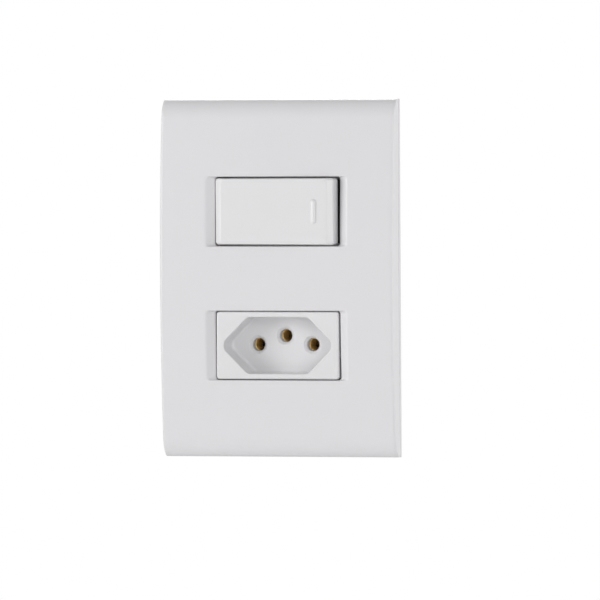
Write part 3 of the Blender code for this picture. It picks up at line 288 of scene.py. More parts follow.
def soft_prism(outline, low, high, axis, edge=0.0002, steps=3, low_edge=None):
    """A prism whose end edges are rounded. A radius of 0 leaves an end sharp."""
    low_edge = edge if low_edge is None else low_edge
    return stepped(outline, starting(low, low_edge, steps) + closing(high, edge, steps), axis)


def soft_block(low, high, edge=0.0002, axis="Y", steps=3, low_edge=None):
    low, high = Vector(low), Vector(high)
    u, v, w = {"X": (1, 2, 0), "Y": (2, 0, 1), "Z": (0, 1, 2)}[axis]
    centre = ((low[u] + high[u]) / 2, (low[v] + high[v]) / 2)
    corner = max(edge, low_edge or 0) * 1.05 + 1e-5
    outline = rectangle((high[u] - low[u]) / 2, (high[v] - low[v]) / 2, corner, centre, steps)
    return soft_prism(outline, low[w], high[w], axis, edge, steps, low_edge)


def centred(x, depths, z, width, height, edge=0.0002):
    """A soft block centred on x and z, from the first to the second y."""
    low = (x - width / 2, depths[0], z - height / 2)
    high = (x + width / 2, depths[1], z + height / 2)
    return soft_block(low, high, edge)


def turned(profile, centre, axis="Y", segments=48):
    """A profile of (radius, w) turned about the line through centre, given in the plane's (u, v).

    A radius may also be a function of the angle.
    """
    u_dir, v_dir, w_dir = PLANES[axis]
    middle = u_dir * centre[0] + v_dir * centre[1]
    bm = bmesh.new()
    rings = []
    for radius, w in profile:
        if not callable(radius) and radius < 1e-7:
            rings.append([bm.verts.new(middle + w_dir * w)])
            continue
        ring = []
        for i in range(segments):
            angle = 2 * math.pi * i / segments
            reach = radius(angle) if callable(radius) else radius
            arm = u_dir * math.cos(angle) + v_dir * math.sin(angle)
            ring.append(bm.verts.new(middle + w_dir * w + arm * reach))
        rings.append(ring)
    for low, high in zip(rings, rings[1:]):
        for i in range(segments):
            j = (i + 1) % segments
            if len(low) == 1:
                bm.faces.new((low[0], high[j], high[i]))
            elif len(high) == 1:
                bm.faces.new((low[i], low[j], high[0]))
            else:
                bm.faces.new((low[i], low[j], high[j], high[i]))
    return piece_of(bm)


def hole(centre, radius, low, high, axis="Y", low_rim=0.00015, high_rim=0.00015, segments=48):
    """A cutter for a round hole from face to face, with both rims a little rounded."""
    levels = opening(low, low_rim, 3) + leaving(high, high_rim, 3)
    ring = [(radius - move, w) for w, move in levels]
    return turned([(0, ring[0][1]), *ring, (0, ring[-1][1])], centre, axis, segments)


def bar(centre, radius, low, high, axis="Y", edge=0.00015, segments=48):
    """A round bar whose end edges are rounded."""
    ring = [(radius - move, w) for w, move in starting(low, edge, 3) + closing(high, edge, 3)]
    return turned([(0, low), *ring, (0, high)], centre, axis, segments)


def threaded(centre, head, start, end, radius, pitch, tip, segments=26, rings_per_turn=6):
    """A screw along Y: the head's profile, a helical thread from start to end, and its tip's profile.

    The thread fades in over one turn and out over the last one. crest is 1 on its flat and 0 at its root.
    """
    way = 1 if end > start else -1
    depth = 0.5 * pitch
    count = max(2, round(abs(end - start) / pitch * rings_per_turn))
    rows = list(head)
    for k in range(count + 1):
        travel = abs(end - start) * k / count
        fade = min(1.0, travel / pitch, (abs(end - start) - travel) / pitch + 0.2)

        def reach(angle, travel=travel, fade=fade):
            phase = (way * travel / pitch - angle / (2 * math.pi)) % 1.0
            crest = min(1.0, max(0.0, 1.3 * (1 - abs(2 * phase - 1)) - 0.1))
            return radius - depth * (1 - crest) * fade

        rows.append((reach, start + way * travel))
    return turned(rows + list(tip), centre, "Y", segments)


def tube(points, radius, segments=10):
    """A round wire along a line of points."""
    rings = []
    normal = Vector((0, 1, 0))
    for i, point in enumerate(points):
        along = (points[min(i + 1, len(points) - 1)] - points[max(i - 1, 0)]).normalized()
        normal = (normal - along * normal.dot(along)).normalized()
        side = along.cross(normal)
        angles = [2 * math.pi * k / segments for k in range(segments)]
        rings.append([point + (normal * math.cos(a) + side * math.sin(a)) * radius for a in angles])
    return loft(rings)


def soft_strip(path, low, high, axis, thickness, bend=0.0005):
    """Sheet metal along a path with rounded bends, as a prism of its thick outline."""
    left, right = [], []
    for i, point in enumerate(path):
        here = Vector(point)
        back = (here - Vector(path[i - 1])).normalized() if i else None
        ahead = (Vector(path[i + 1]) - here).normalized() if i < len(path) - 1 else None
        one, two = back or ahead, ahead or back
        first, second = Vector((-one.y, one.x)), Vector((-two.y, two.x))
        move = (first + second) / (1 + first.dot(second)) * thickness / 2
        turn = back.cross(ahead) if back and ahead else 0
        radii = (bend, bend + thickness) if turn > 0 else (bend + thickness, bend)
        if not turn:
            radii = (0.00012, 0.00012)
        left.append((*(here + move), radii[0]))
        right.append((*(here - move), radii[1]))
    return soft_prism(rounded(left + right[::-1], 5), low, high, axis, 0.0001, 2)


def combined(piece, operation, tools):
    """Joins or cuts, then welds. Its faces end as triangles, because the next boolean needs flat ones."""
    for tool in tools:
        change = piece.modifiers.new("change", "BOOLEAN")
        change.operation = operation
        change.solver = "EXACT"
        change.object = tool
    bpy.context.view_layer.update()
    mesh = bpy.data.meshes.new_from_object(piece.evaluated_get(bpy.context.evaluated_depsgraph_get()))
    piece.modifiers.clear()
    bm = bmesh.new()
    bm.from_mesh(mesh)
    bmesh.ops.remove_doubles(bm, verts=bm.verts[:], dist=1e-6)
    bmesh.ops.dissolve_degenerate(bm, edges=bm.edges[:], dist=1e-6)
    bmesh.ops.triangulate(bm, faces=bm.faces[:])
    bm.to_mesh(mesh)
    bm.free()
    piece.data = mesh
    for tool in tools:
        bpy.data.objects.remove(tool, do_unlink=True)
    return piece


def join(piece, *tools):
    return combined(piece, "UNION", tools)


def cut(piece, *tools):
    return combined(piece, "DIFFERENCE", tools)


def settle(piece, node, body, material, tilt=None, angle=32):
    """Shades, names and tilts a finished piece, and lets it ride on its body and stand for its node.

    The node gets the same material.
    """
    if tilt:
        pivot, turn = tilt
        spin = Matrix.Translation(pivot) @ Matrix.Rotation(turn, 4, "Z") @ Matrix.Translation(-Vector(pivot))
        piece.data.transform(spin)
    piece.name = node + "_fine"
    piece.hide_render = False
    for shown in (piece, NODES[node]):
        shown.data.materials.clear()
        shown.data.materials.append(material)
    piece.data.shade_smooth()
    piece.data.set_sharp_from_angle(angle=math.radians(angle))
    weight = piece.modifiers.new("weight", "WEIGHTED_NORMAL")
    weight.keep_sharp = True
    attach(piece, body)
    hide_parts(node)
    return piece


# Materials


def shader_of(name):
    material = bpy.data.materials.new(name)
    material.use_nodes = True
    tree = material.node_tree
    return material, tree.nodes, tree.links, tree.nodes["Principled BSDF"]


def noise(nodes, links, scale, detail=3.0, stretch=(1, 1, 1)):
    where = nodes.new("ShaderNodeTexCoord")
    mapping = nodes.new("ShaderNodeMapping")
    mapping.inputs["Scale"].default_value = stretch
    links.new(where.outputs["Object"], mapping.inputs["Vector"])
    made = nodes.new("ShaderNodeTexNoise")
    made.inputs["Scale"].default_value = scale
    made.inputs["Detail"].default_value = detail
    links.new(mapping.outputs["Vector"], made.inputs["Vector"])
    return made.outputs["Fac"]


def spread(nodes, links, factor, low, high):
    """Maps a noise onto a range of numbers, or of colours where low and high are colours.

    A noise seldom leaves 0.3 to 0.7, so a range of numbers is spread over that part.
    """
    if isinstance(low, tuple):
        mix = nodes.new("ShaderNodeMix")
        mix.data_type = "RGBA"
        mix.inputs["A"].default_value = (*low, 1)
        mix.inputs["B"].default_value = (*high, 1)
        links.new(factor, mix.inputs["Factor"])
        return mix.outputs["Result"]
    ranged = nodes.new("ShaderNodeMapRange")
    ranged.inputs["From Min"].default_value = 0.3
    ranged.inputs["From Max"].default_value = 0.7
    ranged.inputs["To Min"].default_value = low
    ranged.inputs["To Max"].default_value = high
    links.new(factor, ranged.inputs["Value"])
    return ranged.outputs["Result"]


def bump(nodes, links, shader, parts):
    """Adds several noises into one bump, each as (noise, depth in metres)."""
    previous = None
    for height, depth in parts:
        made = nodes.new("ShaderNodeBump")
        made.inputs["Distance"].default_value = depth
        links.new(height, made.inputs["Height"])
        if previous:
            links.new(previous, made.inputs["Normal"])
        previous = made.outputs["Normal"]
    links.new(previous, shader.inputs["Normal"])


def plastic(name, colour, roughness, grain_depth=2e-6, tint=0.012):
    """Moulded plastic: a faint mottle, a fine spark-eroded grain and a slow ripple of its skin."""
    material, nodes, links, shader = shader_of(name)
    paler = tuple(min(1, c * (1 + tint)) for c in colour)
    darker = tuple(c * (1 - tint) for c in colour)
    links.new(spread(nodes, links, noise(nodes, links, 60, 4), darker, paler), shader.inputs["Base Color"])
    haze = spread(nodes, links, noise(nodes, links, 900, 2), roughness * 0.92, roughness * 1.08)
    links.new(haze, shader.inputs["Roughness"])
    grain, ripple = noise(nodes, links, 5200, 1), noise(nodes, links, 45, 1)
    bump(nodes, links, shader, [(ripple, grain_depth * 6), (grain, grain_depth)])
    return material


def metal(name, colour, roughness, stretch=(1, 1, 1), tarnish=0.82):
    """Drawn or rolled metal: patches of tarnish and fine streaks along its length."""
    material, nodes, links, shader = shader_of(name)
    shader.inputs["Metallic"].default_value = 1.0
    dull = tuple(c * tarnish for c in colour)
    links.new(spread(nodes, links, noise(nodes, links, 420, 5), dull, colour), shader.inputs["Base Color"])
    brushed = noise(nodes, links, 2600, 3, stretch)
    links.new(spread(nodes, links, brushed, roughness * 0.75, roughness * 1.3), shader.inputs["Roughness"])
    bump(nodes, links, shader, [(brushed, 1.2e-6)])
    return material


WHITE = plastic("white_satin", (0.735, 0.727, 0.742), 0.42)
WHITE_FACE = plastic("white_smooth", (0.752, 0.748, 0.758), 0.30, 1e-6)
WHITE_INNER = plastic("white_inner", (0.70, 0.70, 0.70), 0.5)
DARK = plastic("dark_grey", (0.030, 0.030, 0.032), 0.5)
BRASS = metal("brass", (0.95, 0.74, 0.34), 0.7, (1, 0.08, 1), 0.94)
COPPER = metal("copper", (0.78, 0.42, 0.28), 0.32, (0.08, 1, 1))
SILVER = metal("silver", (0.88, 0.87, 0.84), 0.22, (1, 1, 1), 0.93)
ZINC = metal("zinc", (0.66, 0.66, 0.64), 0.32, (1, 0.2, 1), 0.88)


# Cover plate


def plate_shell(shrink, front, back, end_steps=18, side_steps=6):
    """The plate's block with round ends, as a loft over its height of sections with round front edges."""
    half_x, half_z = PLATE_WIDTH / 2 - shrink, PLATE_HEIGHT / 2 - shrink
    end, side = PLATE_END_RADIUS - shrink, PLATE_SIDE_RADIUS - shrink / 2
    levels = [(-half_z + end * (1 - math.cos(a)), end * (1 - math.sin(a))) for a in arc(end_steps, end)]
    levels += [(-z, sink) for z, sink in reversed(levels)]
    turn = [(side * (1 - math.cos(a)), side * (1 - math.sin(a))) for a in arc(side_steps, side)]
    rings = []
    for z, sink in levels:
        y = front + sink
        section = [(-half_x, back), (half_x, back)]
        section += [(half_x - across, y + down) for across, down in turn]
        section += [(-half_x + across, y + down) for across, down in reversed(turn)]
        rings.append([Vector((x, v, z)) for x, v in section])
    return loft(rings)


def window_cutter(z):
    """The window and its dished short sides, with every edge a little rounded."""
    outer = WINDOW_X + DISH_REACH
    slope = math.atan2(DISH_DEPTH, DISH_REACH)
    flare, crease, lip = WINDOW_FLARE, WINDOW_CREASE, WINDOW_LIP
    reach = crease * math.tan(slope / 2)
    lip_y = DISH_DEPTH + lip * math.tan((math.pi / 2 - slope) / 2)
    lip_start = lip_y - lip * math.cos(slope)

    def half_z(t):
        return WINDOW_Z + (flare - math.sqrt(max(0, flare**2 - (flare - t) ** 2)) if t < flare else 0)

    def half_x(t):
        if t <= crease * (1 - math.cos(slope)):
            return outer + reach - math.sqrt(max(0, crease**2 - (crease - t) ** 2))
        if t < lip_start:
            return outer - t / math.tan(slope)
        if t < lip_y:
            return WINDOW_X + lip - math.sqrt(max(0, lip**2 - (lip_y - t) ** 2))
        return WINDOW_X

    # Levels close together where the flare turns fast, one on the slope, and six round the lip
    depths = [0, 0.00001, 0.00004, 0.00009, 0.00015, 0.00022, 0.0003, 0.001]
    depths += [lip_start + (lip_y - lip_start) * i / 5 for i in range(6)]
    rings = []
    for y, t in [(-AHEAD, 0)] + [(t, t) for t in depths] + [(WINDOW_REACH, WINDOW_REACH)]:
        outline = rectangle(half_z(t), half_x(t), WINDOW_CORNER, (z, 0), 6)
        rings.append(place(outline, -PLATE_DEPTH + y, "Y"))
    return loft(rings)


def bow_share(z):
    """How much of its depth the crowned plate keeps at this height."""
    return 1 - z**2 / (2 * PLATE_BOW_RADIUS) / PLATE_DEPTH


def slice_and_bow(piece):
    """Cuts the plate's long faces into bands, so that they can follow its bow, and bows them."""
    bm = bmesh.new()
    bm.from_mesh(piece.data)
    cuts = [((0, 0, i * BOW_BAND), (0, 0, 1)) for i in range(-BOW_BANDS, BOW_BANDS + 1)]
    cuts += [((i * ACROSS_BAND, 0, 0), (1, 0, 0)) for i in range(-ACROSS_BANDS, ACROSS_BANDS + 1)]
    for where, normal in cuts:
        whole = bm.verts[:] + bm.edges[:] + bm.faces[:]
        bmesh.ops.bisect_plane(bm, geom=whole, plane_co=where, plane_no=normal, dist=1e-7)
    for vertex in bm.verts:
        vertex.co.y *= bow_share(vertex.co.z)
    bm.to_mesh(piece.data)
    bm.free()


def window_walls(z):
    """The collar round one window, and the skirts above and below it."""
    depths = (PLATE_INNER - ROOT, PLATE_INNER + COLLAR_DEPTH)
    walls = [centred(0.0, depths, z, 2 * COLLAR_X, 2 * COLLAR_Z)]
    half = COLLAR_X - BEHIND
    for side in (-1, 1):
        end = EAR_BACK / bow_share(z + side * COLLAR_Z)
        low, high = sorted((z + side * (WINDOW_Z - DEEP_ROOT), z + side * (COLLAR_Z - BEHIND)))
        walls.append(soft_block((-half, PLATE_INNER, low), (half, end, high), 0.00025))
    return walls


def plate_tab(side_x, side_z):
    """A snap tab with a nose, whose rear corner slopes as it would to snap in."""
    root, end = PLATE_INNER - 2 * ROOT, -TAB_SET_BACK
    nose = end - TAB_NOSE_TALL
    near, far = TAB_Z, TAB_Z + TAB_THICK
    tip = far + TAB_NOSE
    corners = [
        (root, near, 0.0),
        (end, near, 0.0002),
        (end, tip, 0.00025),
        (nose, tip, 0.0002),
        (nose, far, 0.0002),
        (root, far, 0.0),
    ]
    outline = [(y, side_z * z) for y, z in rounded(corners, 3)]
    x = side_x * TAB_X
    return soft_prism(outline, x - TAB_WIDTH / 2, x + TAB_WIDTH / 2, "X", 0.00015)


def cover_plate():
    plate = plate_shell(0.0, -PLATE_DEPTH, 0.0)
    cut(plate, plate_shell(PLATE_WALL, PLATE_INNER, 0.002, 10, 3))
    join(plate, *window_walls(PITCH), *window_walls(-PITCH))
    cut(plate, window_cutter(PITCH), window_cutter(-PITCH))
    extras = [plate_tab(a, b) for a in (-1, 1) for b in (-1, 1)]
    rib_depths = (PLATE_INNER - 2 * ROOT, PLATE_INNER - DEEP_ROOT + RIB_DEEP)
    rib_x, rib_height = COLLAR_X + RIB_SIDE, 2 * (TAB_Z - RIB_END)
    for side in (-1, 1):
        extras.append(centred(side * rib_x, rib_depths, 0.0, RIB_THICK, rib_height))
    join(plate, *extras)
    grooves = []
    for side in (-1, 1):
        edge = side * PLATE_WIDTH / 2
        near, far = sorted((edge - GROOVE_DEEP, edge + GROOVE_DEEP))
        low, high = (near, GROOVE_Y, -GROOVE_REACH), (far, GROOVE_Y + GROOVE_TALL, GROOVE_REACH)
        grooves.append(soft_block(low, high, 0.0001))
    cut(plate, *grooves)
    slice_and_bow(plate)
    settle(plate, "cover_plate", "base", WHITE)


# Support frame and its screws


def support_frame():
    half_x, half_z = FRAME_WIDTH / 2, FRAME_HEIGHT / 2
    front = -FRAME_THICK
    outline = rectangle(half_z, half_x, FRAME_CORNER)
    frame_piece = soft_prism(outline, front - FRAME_RIM_TALL, 0.0, "Y", 0.0002, 3, 0.0003)
    inside = rectangle(half_z - FRAME_RIM, half_x - FRAME_RIM, FRAME_CORNER - FRAME_RIM)
    cutters = [stepped(inside, opening(front - FRAME_RIM_TALL, 0.0002) + closing(front, 0.0003), "Y")]
    for z in (-PITCH, 0.0, PITCH):
        bay = rectangle(BAY_Z, BAY_X, BODY_EDGE, (z, 0.0))
        cutters.append(stepped(bay, opening(front, 0.00025) + leaving(0.0, 0.00015), "Y"))
    radius = SCREW_RADIUS + SHANK_GAP
    for side in (-1, 1):
        middle = (side * SCREW_PITCH / 2, 0.0)
        slot = rectangle(radius, SCREW_TRAVEL / 2 + radius, radius * 0.999, middle, 10)
        cutters.append(stepped(slot, opening(front, 0.0002) + leaving(0.0, 0.0002), "Y"))
    cut(frame_piece, *cutters)
    cut(frame_piece, *[tool for a in (-1, 1) for b in (-1, 1) for tool in tab_slot(a, b)])
    rib_x, rib_height = BAY_X + FRAME_RIB_SIDE, FRAME_HEIGHT - 2 * FRAME_RIB_INSET
    depths = (front - FRAME_RIB_TALL, front + DEEP_ROOT)
    ribs = [centred(side * rib_x, depths, 0.0, FRAME_RIB_THICK, rib_height) for side in (-1, 1)]
    join(frame_piece, *ribs)
    settle(frame_piece, "support_frame", "base", WHITE_INNER)


def tab_slot(side_x, side_z):
    """The slot that a tab of the plate snaps into, wider at the rear for its nose."""
    x, half = side_x * TAB_X, TAB_WIDTH / 2 + 2 * GAP
    near, far = TAB_Z - GAP, TAB_Z + TAB_THICK + GAP
    pocket = -TAB_SET_BACK - TAB_NOSE_TALL - GAP
    tools = []
    for front, reach in ((-FRAME_THICK - AHEAD, far), (pocket, far + TAB_NOSE)):
        middle = (side_z * (near + reach) / 2, x)
        outline = rectangle((reach - near) / 2, half, 0.0002, middle, 3)
        tools.append(stepped(outline, [(front, 0.0), *leaving(0.0, 0.00015, 3)], "Y"))
    return tools


def pan_head(head, tall, radius, shank, front):
    """A pan head's profile from its crown to its shank. front is -1 if the head faces the room."""
    top = head + front * tall
    corners = [
        (0.0, top, 0.0),
        (radius * 0.74, top, radius * 0.30),
        (radius, head + front * tall * 0.48, radius * 0.22),
        (radius, head, 0.00012),
        (shank, head, 0.0),
    ]
    return rounded(corners, 5)


def slotted_screw(node, centre, head, tall, head_radius, radius, tip, front, pitch):
    """A pan-head screw with a rolled thread and a driver's slot."""
    way = -front
    start = head + way * THREAD_START
    end = tip - way * radius * 0.55
    point = [(radius * 0.52, tip - way * TIP_BEVEL), (radius * 0.42, tip), (0.0, tip)]
    profile = pan_head(head, tall, head_radius, radius, front)
    piece = threaded(centre, profile, start, end, radius, pitch, point)
    top = head + front * tall
    depths = sorted((top + front * AHEAD, top - front * DRIVER_SLOT))
    slot = centred(centre[1], depths, centre[0], 2.4 * head_radius, DRIVER_SLOT, 0.00008)
    cut(piece, slot)
    settle(piece, node, "base", ZINC, angle=40)


# Switch


def body_box(z, front, back=BODY_BACK):
    return soft_prism(rectangle(BODY_Z, BODY_X, BODY_EDGE, (z, 0.0)), front, back, "Y", 0.0002, 3)


def ears(z):
    """The flange by which a module rests on the front of the support frame."""
    return soft_block((-EAR_X, EAR_FRONT, z - EAR_Z), (EAR_X, EAR_BACK, z + EAR_Z), 0.0002)


def hook(side, z):
    """A snap hook that catches behind the frame, with a slope on its rear."""
    wall, tip = BODY_X - BODY_WALL / 2, BAY_X + HOOK_REACH
    corners = [
        (wall, GAP, 0.0),
        (tip, GAP, 0.0002),
        (tip, GAP + HOOK_LAND, 0.0002),
        (wall, GAP + HOOK_DEEP, 0.0),
    ]
    outline = [(side * x, y) for x, y in rounded(corners, 3)]
    return soft_prism(outline, z - HOOK_HEIGHT / 2, z + HOOK_HEIGHT / 2, "Z", 0.0001)


def rear_recess(z, half_x, x=0.0):
    outline = rectangle(BODY_Z - BODY_WALL, half_x, 0.0005, (z, x), 4)
    return stepped(outline, starting(REAR_Y + REAR_WALL, 0.0003) + leaving(BODY_BACK, 0.0002), "Y")


def terminal_window(x, z):
    outline = rectangle(TERMINAL_WINDOW / 2, TERMINAL_WINDOW / 2, 0.0003, (z, x), 3)
    levels = [(REAR_Y - AHEAD, 0.0), *leaving(REAR_Y + REAR_WALL, 0.0002), (BODY_BACK, -0.0002)]
    return stepped(outline, levels, "Y")


def finger_slit(side, z):
    """The slit round a hook, which leaves it on a springy finger of the housing's wall."""
    front, back, width = -0.0012, 0.0050, 0.0007
    inner = HOOK_HEIGHT / 2 + GAP
    outer = inner + width
    corners = [
        (front, z + inner, 0.0),
        (back - width, z + inner, 0.0003),
        (back - width, z - inner, 0.0003),
        (front, z - inner, 0.0),
        (front, z - outer, 0.0),
        (back, z - outer, 0.0006),
        (back, z + outer, 0.0006),
        (front, z + outer, 0.0),
    ]
    low, high = sorted((side * (BODY_X - BODY_WALL - ROOT), side * (BODY_X + ROOT)))
    return soft_prism(rounded(corners, 4), low, high, "X", 0.0)


def switch_housing():
    z = PITCH
    half_x, half_z = BODY_X - BODY_WALL, BODY_Z - BODY_WALL
    housing = body_box(z, EAR_FRONT)
    join(housing, ears(z), hook(-1, z), hook(1, z))
    hollow = rectangle(half_z, half_x, 0.0006, (z, 0.0), 4)
    hollow = stepped(hollow, opening(EAR_FRONT, 0.0002) + closing(REAR_Y, 0.0004), "Y")
    bearing = hole((0.0, 0.0), PIVOT_RADIUS + SHANK_GAP, z - BODY_Z, z + BODY_Z, "Z", 0.00012, 0.00012)
    windows = [terminal_window(side * SWITCH_TERMINAL_X, z) for side in (-1, 1)]
    cut(housing, hollow, bearing, finger_slit(-1, z), finger_slit(1, z), rear_recess(z, half_x), *windows)
    span = half_z + ROOT
    near, far = zip(ARM_STOP_X, ARM_STOP_Y)
    extras = [soft_block((*near, z - span), (*far, z + span), 0.0002, "Z")]
    tail_depths = (TAIL_RIB_START, REAR_Y + DEEP_ROOT)
    for side in (-1, 1):
        middle = z + side * (TAIL_HALF + TAIL_RIB_THICK / 2)
        extras.append(centred(0.0, tail_depths, middle, 2 * (half_x + ROOT), TAIL_RIB_THICK))
    barrier_depths = (REAR_Y + REAR_WALL - DEEP_ROOT, BODY_BACK - DEEP_ROOT)
    extras.append(centred(0.0, barrier_depths, z, BARRIER_THICK, 2 * span))
    join(housing, *extras)
    settle(housing, "switch_housing", "base", DARK)


ON_ROCKER = ((0, 0, PITCH), ROCKER_TILT)
ON_ARM = ((0, ARM_EDGE, PITCH), ARM_TILT)


def rocker_key():
    """The key's block: rectangles whose half width follows its end's profile, over the soft upper edge."""
    corners = [
        (ROCKER_HALF, ROCKER_BASE, 0.0),
        (ROCKER_HALF, ROCKER_SHOULDER, SHOULDER_ROUND),
        (ROCKER_KNEE_X, ROCKER_KNEE, KNEE_ROUND),
        (ROCKER_FACE_HALF, ROCKER_FACE, FACE_ROUND),
        (0.0, ROCKER_FACE, 0.0),
    ]
    rings = []
    for x, y in rounded(corners, 8)[:-1]:
        sink = ROCKER_SOFT - min(ROCKER_SOFT, y - ROCKER_FACE)
        half_z = FACE_HEIGHT / 2 - ROCKER_SOFT + math.sqrt(max(0.0, ROCKER_SOFT**2 - sink**2))
        rings.append(place(rectangle(half_z, x, ROCKER_CORNER, (PITCH, 0.0), 8), y, "Y"))
    return loft(rings)


def rocker():
    z = PITCH
    half, face_half, wall = ROCKER_HALF, ROCKER_FACE_HALF, ROCKER_WALL
    key = rocker_key()
    inside = [
        (-half + wall, ROCKER_BASE + AHEAD, 0.0),
        (half - wall, ROCKER_BASE + AHEAD, 0.0),
        (half - wall, ROCKER_SHOULDER + wall * 0.4, 0.0003),
        (face_half - wall * 0.6, ROCKER_FACE + wall, 0.0004),
        (-face_half + wall * 0.6, ROCKER_FACE + wall, 0.0004),
        (-half + wall, ROCKER_SHOULDER + wall * 0.4, 0.0003),
    ]
    inner_z = FACE_HEIGHT / 2 - wall
    cut(key, soft_prism(rounded(inside, 4), z - inner_z, z + inner_z, "Z", 0.0003, 3))
    ceiling = ROCKER_FACE + wall
    root = ceiling - DEEP_ROOT
    extras = [bar((z, 0.0), STEM_RADIUS, root, STEM_END)]
    radius = PIVOT_ARM_RADIUS
    half_turn = [math.pi * i / 24 for i in range(25)]
    lobe = [(-radius * math.cos(a), radius * math.sin(a)) for a in half_turn]
    for side in (-1, 1):
        low, high = sorted((z + side * PIVOT_ARM_NEAR, z + side * PIVOT_ARM_FAR))
        extras.append(soft_prism([(-radius, root), *lobe, (radius, root)], low, high, "Z", 0.00015))
        low, high = sorted((z + side * (PIVOT_ARM_NEAR + ROOT), z + side * PIVOT_END))
        extras.append(bar((0.0, 0.0), PIVOT_RADIUS, low, high, "Z", 0.0002, 36))
    rib_depths, rib_height = (root, ceiling + ROCKER_RIB_DEEP), 2 * (inner_z + DEEP_ROOT)
    extras.append(centred(0.0, rib_depths, z, 2 * (face_half - wall), ROCKER_RIB_THICK, 0.00015))
    for side in (-1, 1):
        extras.append(centred(side * ROCKER_RIB_X, rib_depths, z, ROCKER_RIB_THICK, rib_height, 0.00015))
    extras.append(rocker_mark())
    join(key, *extras)
    bore_end = STEM_END + AHEAD
    cut(key, turned([(0, ceiling), (STEM_BORE, ceiling), (STEM_BORE, bore_end), (0, bore_end)], (z, 0)))
    settle(key, "rocker", "rocker", WHITE_FACE, ON_ROCKER)


def rocker_mark():
    """The raised bar near the key's right end, with soft flanks."""
    rings = []
    for move, rise, lean in MARK_BACK:
        middle = (PITCH, MARK_X + lean)
        outline = rectangle(MARK_LENGTH / 2, MARK_WIDTH / 2, MARK_WIDTH / 2 - 0.00005, middle, 8)
        rings.append(place(inset(outline, move), ROCKER_FACE - rise, "Y"))
    return loft(rings)


def rocker_plunger():
    """A sprung pin with a domed tip that rides on the contact arm."""
    radius, top, edge = PLUNGER_RADIUS, PLUNGER_TOP, 0.00015
    tip = ARM_EDGE - ARM_THICK - GAP
    dome = [(radius * math.cos(a), tip - radius * (1 - math.sin(a))) for a in arc(9, radius)[:-1]]
    profile = [(0.0, top), (radius - edge, top), (radius, top + edge), *dome, (0.0, tip)]
    pin = turned(profile, (PITCH, 0.0), "Y", 36)
    settle(pin, "rocker_plunger", "plunger", WHITE_FACE, ON_ROCKER, 50)


def plunger_spring():
    start = ROCKER_FACE + ROCKER_WALL + GAP + SPRING_WIRE
    end = PLUNGER_TOP - GAP - SPRING_WIRE
    count = SPRING_TURNS * 28
    points = []
    for i in range(count + 1):
        angle, share = 2 * math.pi * SPRING_TURNS * i / count, i / count
        y = start + (end - start) * share
        points.append(Vector((SPRING_RADIUS * math.cos(angle), y, PITCH + SPRING_RADIUS * math.sin(angle))))
    coil = settle(tube(points, SPRING_WIRE, 8), "plunger_spring", "rocker", ZINC, ON_ROCKER, 60)
    turn = Matrix.Rotation(ROCKER_TILT, 3, "Z")
    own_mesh(coil)


def contact_arm():
    seat = ARM_EDGE - ARM_TROUGH_RISE
    lower = [(-ARM_HALF, seat, 0.0002), (-ARM_TROUGH_HALF, seat, 0.0006), (0.0, ARM_EDGE, 0.0002)]
    lower += [(ARM_TROUGH_HALF, seat, 0.0006), (ARM_HALF, seat, 0.0002)]
    outline = rounded(lower + [(x, y - ARM_THICK, r) for x, y, r in reversed(lower)], 4)
    arm = soft_prism(outline, PITCH - ARM_WIDTH / 2, PITCH + ARM_WIDTH / 2, "Z", 0.0001, 3)
    cut(arm, rivet_hole(seat - ARM_THICK, seat))
    settle(arm, "contact_arm", "contact_arm", COPPER, ON_ARM)


def rivet_hole(low, high):
    return hole((PITCH, -RIVET_X), RIVET_SHANK + GAP, low, high, "Y", 0.00008, 0.00008, 32)


def rivet(node, body, low, high, side, tilt=None):
    """A contact rivet through a strip, with a domed contact. side is +1 if it faces +Y."""
    seat, back = (high + GAP, low - GAP) if side > 0 else (low - GAP, high + GAP)
    face, end = seat + side * RIVET_TALL, back - side * RIVET_PEEN_TALL
    crown = [(0.0, 0.0), (0.00045, 0.00003), (0.0008, 0.00009), (0.0011, 0.0002), (0.00135, 0.00038)]
    profile = [(radius, face - side * down) for radius, down in crown]
    profile += [(RIVET_RADIUS, seat + side * 0.00028), (RIVET_RADIUS, seat + side * 0.00006)]
    profile += [(RIVET_RADIUS - 0.00006, seat), (RIVET_SHANK, seat)]
    profile += [(RIVET_SHANK, back), (RIVET_PEEN - 0.00005, back), (RIVET_PEEN, back - side * 0.00008)]
    profile += [(RIVET_PEEN * 0.92, end + side * 0.00012), (RIVET_PEEN * 0.72, end), (0.0, end)]
    piece = turned(profile, (PITCH, -RIVET_X), "Y", 32)
    settle(piece, node, body, SILVER, tilt, 40)


# Terminals


def shank_hole(x, z, middle=TAIL_Y, thick=STRIP):
    low, high = middle - thick / 2, middle + thick / 2
    return hole((z, x), TERMINAL_RADIUS + SHANK_GAP, low, high, "Y", 0.0001, 0.0001, 36)


def switch_terminals():
    low, high = PITCH - STRIP_WIDTH / 2, PITCH + STRIP_WIDTH / 2
    tail = SWITCH_TERMINAL_X + TAIL_HALF
    common = soft_strip([(tail, TAIL_Y), (0.0, TAIL_Y), (0.0, ARM_EDGE + GAP)], low, high, "Z", STRIP)
    cut(common, shank_hole(SWITCH_TERMINAL_X, PITCH))
    settle(common, "common_terminal", "base", BRASS)
    shelf = SHELF_Y + STRIP / 2
    path = [(-tail, TAIL_Y), (-KNEE_X, TAIL_Y), (-KNEE_X, shelf), (-SHELF_END, shelf)]
    load = soft_strip(path, low, high, "Z", STRIP)
    cut(load, shank_hole(-SWITCH_TERMINAL_X, PITCH), rivet_hole(SHELF_Y, SHELF_Y + STRIP))
    settle(load, "load_terminal", "base", BRASS)


